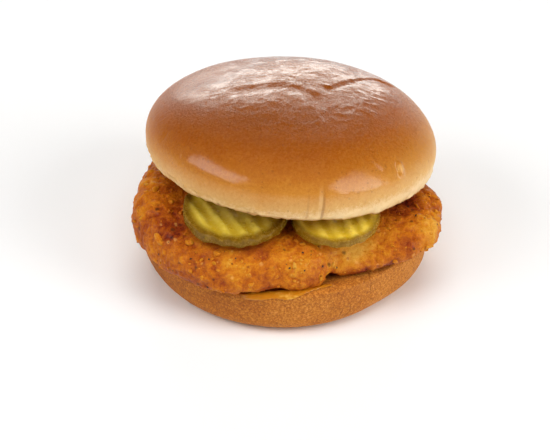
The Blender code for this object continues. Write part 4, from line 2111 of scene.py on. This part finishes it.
        press(dome, self.fullness_gain, on_side)
        paint(dome, "dome", lambda point: smoothstep(*self.dome_from, height_of(point)))
        paint(dome, "wrinkled", lambda point: smoothstep(*self.wrinkled_from, height_of(point)))
        paint(dome, "rim", lambda point: bell(height_of(point) - self.rim_height, self.rim_reach))
        paint(dome, "cut", lambda point: smoothstep(*self.cut_until, height_of(point)))
        for relief in self.reliefs:
            relief.press_into(dome)
        for crease in self.creases:
            start, end = self.at(*crease.start), self.at(*crease.end)
            Swell(crease.depth, crease.width, start, end).press_into(dome)
        press(dome, self.ledge.step, lambda point: self.ledge.weight(back @ point, self.radius))
        for fold in (self.wave, self.fold):
            press(dome, fold.ridge, fold.near(0.0, fold.ridge_width, upper))
            press(dome, fold.dip, fold.near(fold.dip_ahead, fold.dip_width, upper))


# ---------------------------------------------------------------------------------------------------------
# The studio


WARM_WHITE: Colour = (1.0, 0.96, 0.88)


@dataclass(frozen=True)
class Softbox:
    """A large soft light that faces the burger, left out of glossy reflections where reflected is False."""

    name: str
    azimuth_deg: float
    elevation_deg: float
    distance: float
    width: float
    height: float
    watts: float
    tint: Colour = (1.0, 1.0, 1.0)
    reflected: bool = True

    def hang(self, target: Vector) -> None:
        """Hangs the light.

        Args:
            target: The point it faces.
        """
        turn, lift = math.radians(self.azimuth_deg), math.radians(self.elevation_deg)
        away = Vector((math.sin(turn) * math.cos(lift), -math.cos(turn) * math.cos(lift), math.sin(lift)))
        light = bpy.data.lights.new(self.name, "AREA")
        light.shape, light.size, light.size_y = "RECTANGLE", self.width, self.height
        light.energy, light.color = self.watts, self.tint
        made = bpy.data.objects.new(self.name, light)
        made.location = target + away * self.distance
        made.rotation_euler = (-away).to_track_quat("-Z", "Y").to_euler()
        made.visible_camera = False
        made.visible_glossy = self.reflected
        bpy.context.scene.collection.objects.link(made)


@dataclass
class Studio:
    """A plain pale floor, soft light from behind and from both front corners, and the camera."""

    target: Vector = field(default_factory=lambda: Vector((-0.003094, 0.017345, 0.0)))
    elevation_deg: float = 34.8
    distance: float = 0.550
    roll_deg: float = 0.70
    lens: float = 88.82
    sensor_width: float = 36.0
    lit_height: float = 0.03
    floor_radius: float = 6.0
    floor_drop: float = 0.0002
    floor_tone: Colour = (0.95, 0.95, 0.95)
    floor_roughness: float = 0.75
    far_floor: Colour = (0.85, 0.85, 0.85)
    floor_fade: Fade = Fade(0.5, 2.2)
    sky: Colour = (0.50, 0.50, 0.51)
    zenith: Colour = (0.04, 0.04, 0.04)
    sky_fade: Fade = Fade(0.0, 0.28)
    lights: tuple[Softbox, ...] = (
        Softbox("back_panel", 180.0, 10.5, 1.8, 1.30, 0.62, 10.8, tint=WARM_WHITE),
        Softbox("back_upper_panel", 180.0, 30.5, 1.8, 1.10, 0.32, 3.4, tint=WARM_WHITE),
        Softbox("left_front_box", -66.0, 37.0, 1.5, 1.15, 0.62, 10.6),
        Softbox("right_front_box", 64.0, 28.0, 1.5, 0.85, 1.05, 14.0),
        Softbox("overhead_fill", 0.0, 78.0, 2.5, 2.0, 2.0, 36.0, reflected=False),
    )

    def set_up(self) -> None:
        """Builds the floor, the sky, the lights and the camera."""
        self.floor()
        self.surroundings()
        for light in self.lights:
            light.hang(UP * self.lit_height)
        self.camera()

    def floor(self) -> None:
        """Lays the pale floor, which glows softly far away, so that it runs into the background."""
        clear_selection()
        below = UP * -self.floor_drop
        bpy.ops.mesh.primitive_circle_add(
            vertices=96, radius=self.floor_radius, fill_type="NGON", location=below
        )
        floor = named("studio_floor")
        made, graph, shader = new_material("studio_floor")
        shader.inputs["Base Color"].default_value = (*self.floor_tone, 1.0)
        shader.inputs["Roughness"].default_value = self.floor_roughness
        away = graph.reach(graph.add("SeparateXYZ", {0: graph.add("TexCoord").outputs["Object"]}))
        glow = graph.mix(graph.fade(away, *self.floor_fade), (0.0, 0.0, 0.0), self.far_floor)
        graph.feed(shader.inputs["Emission Color"], glow)
        shader.inputs["Emission Strength"].default_value = 1.0
        floor.data.materials.append(made)

    def surroundings(self) -> None:
        """Lights the surroundings, paler near the horizon than overhead."""
        world = bpy.data.worlds.new("studio")
        bpy.context.scene.world = world
        world.use_nodes = True
        graph = Graph(world.node_tree)
        direction = graph.add("SeparateXYZ", {0: graph.add("TexCoord").outputs["Generated"]})
        colour = graph.mix(graph.fade(direction.outputs[2], *self.sky_fade), self.sky, self.zenith)
        graph.feed(world.node_tree.nodes["Background"].inputs["Color"], colour)

    def camera(self) -> None:
        """Stands the camera in front, above and slightly rolled, with a long lens."""
        lift = math.radians(self.elevation_deg)
        back = Vector((0.0, -math.cos(lift), math.sin(lift)))
        lens = bpy.data.cameras.new("camera")
        lens.lens, lens.sensor_width = self.lens, self.sensor_width
        camera = bpy.data.objects.new("camera", lens)
        roll = Matrix.Rotation(math.radians(self.roll_deg), 3, "Z")
        turn = (-back).to_track_quat("-Z", "Y").to_matrix() @ roll
        camera.matrix_world = Matrix.Translation(self.target + back * self.distance) @ turn.to_4x4()
        bpy.context.scene.collection.objects.link(camera)
        bpy.context.scene.camera = camera
        bpy.context.scene.view_settings.view_transform = "Standard"


def main() -> None:
    """Builds the studio and the burger, from the bottom up."""
    logging.basicConfig(level=logging.INFO, format="%(message)s")
    Studio().set_up()
    parts = (
        Heel(),
        Fillet(),
        # The left slice is darkened as painted shade and the right one lightened as painted light.
        PickleSlice("pickle_left", "pickle_slice_left", 27.0, 0.0004, lightness=0.82, skin_from=0.80),
        PickleSlice("pickle_right", "pickle_slice_right", 22.0, 0.00025, lightness=1.10, skin_from=0.87),
        Crown(),
    )
    for part in parts:
        part.build()
        log.info("%s: %d pieces", type(part).__name__, len(part.pieces))


if __name__ == "__main__":
    main()
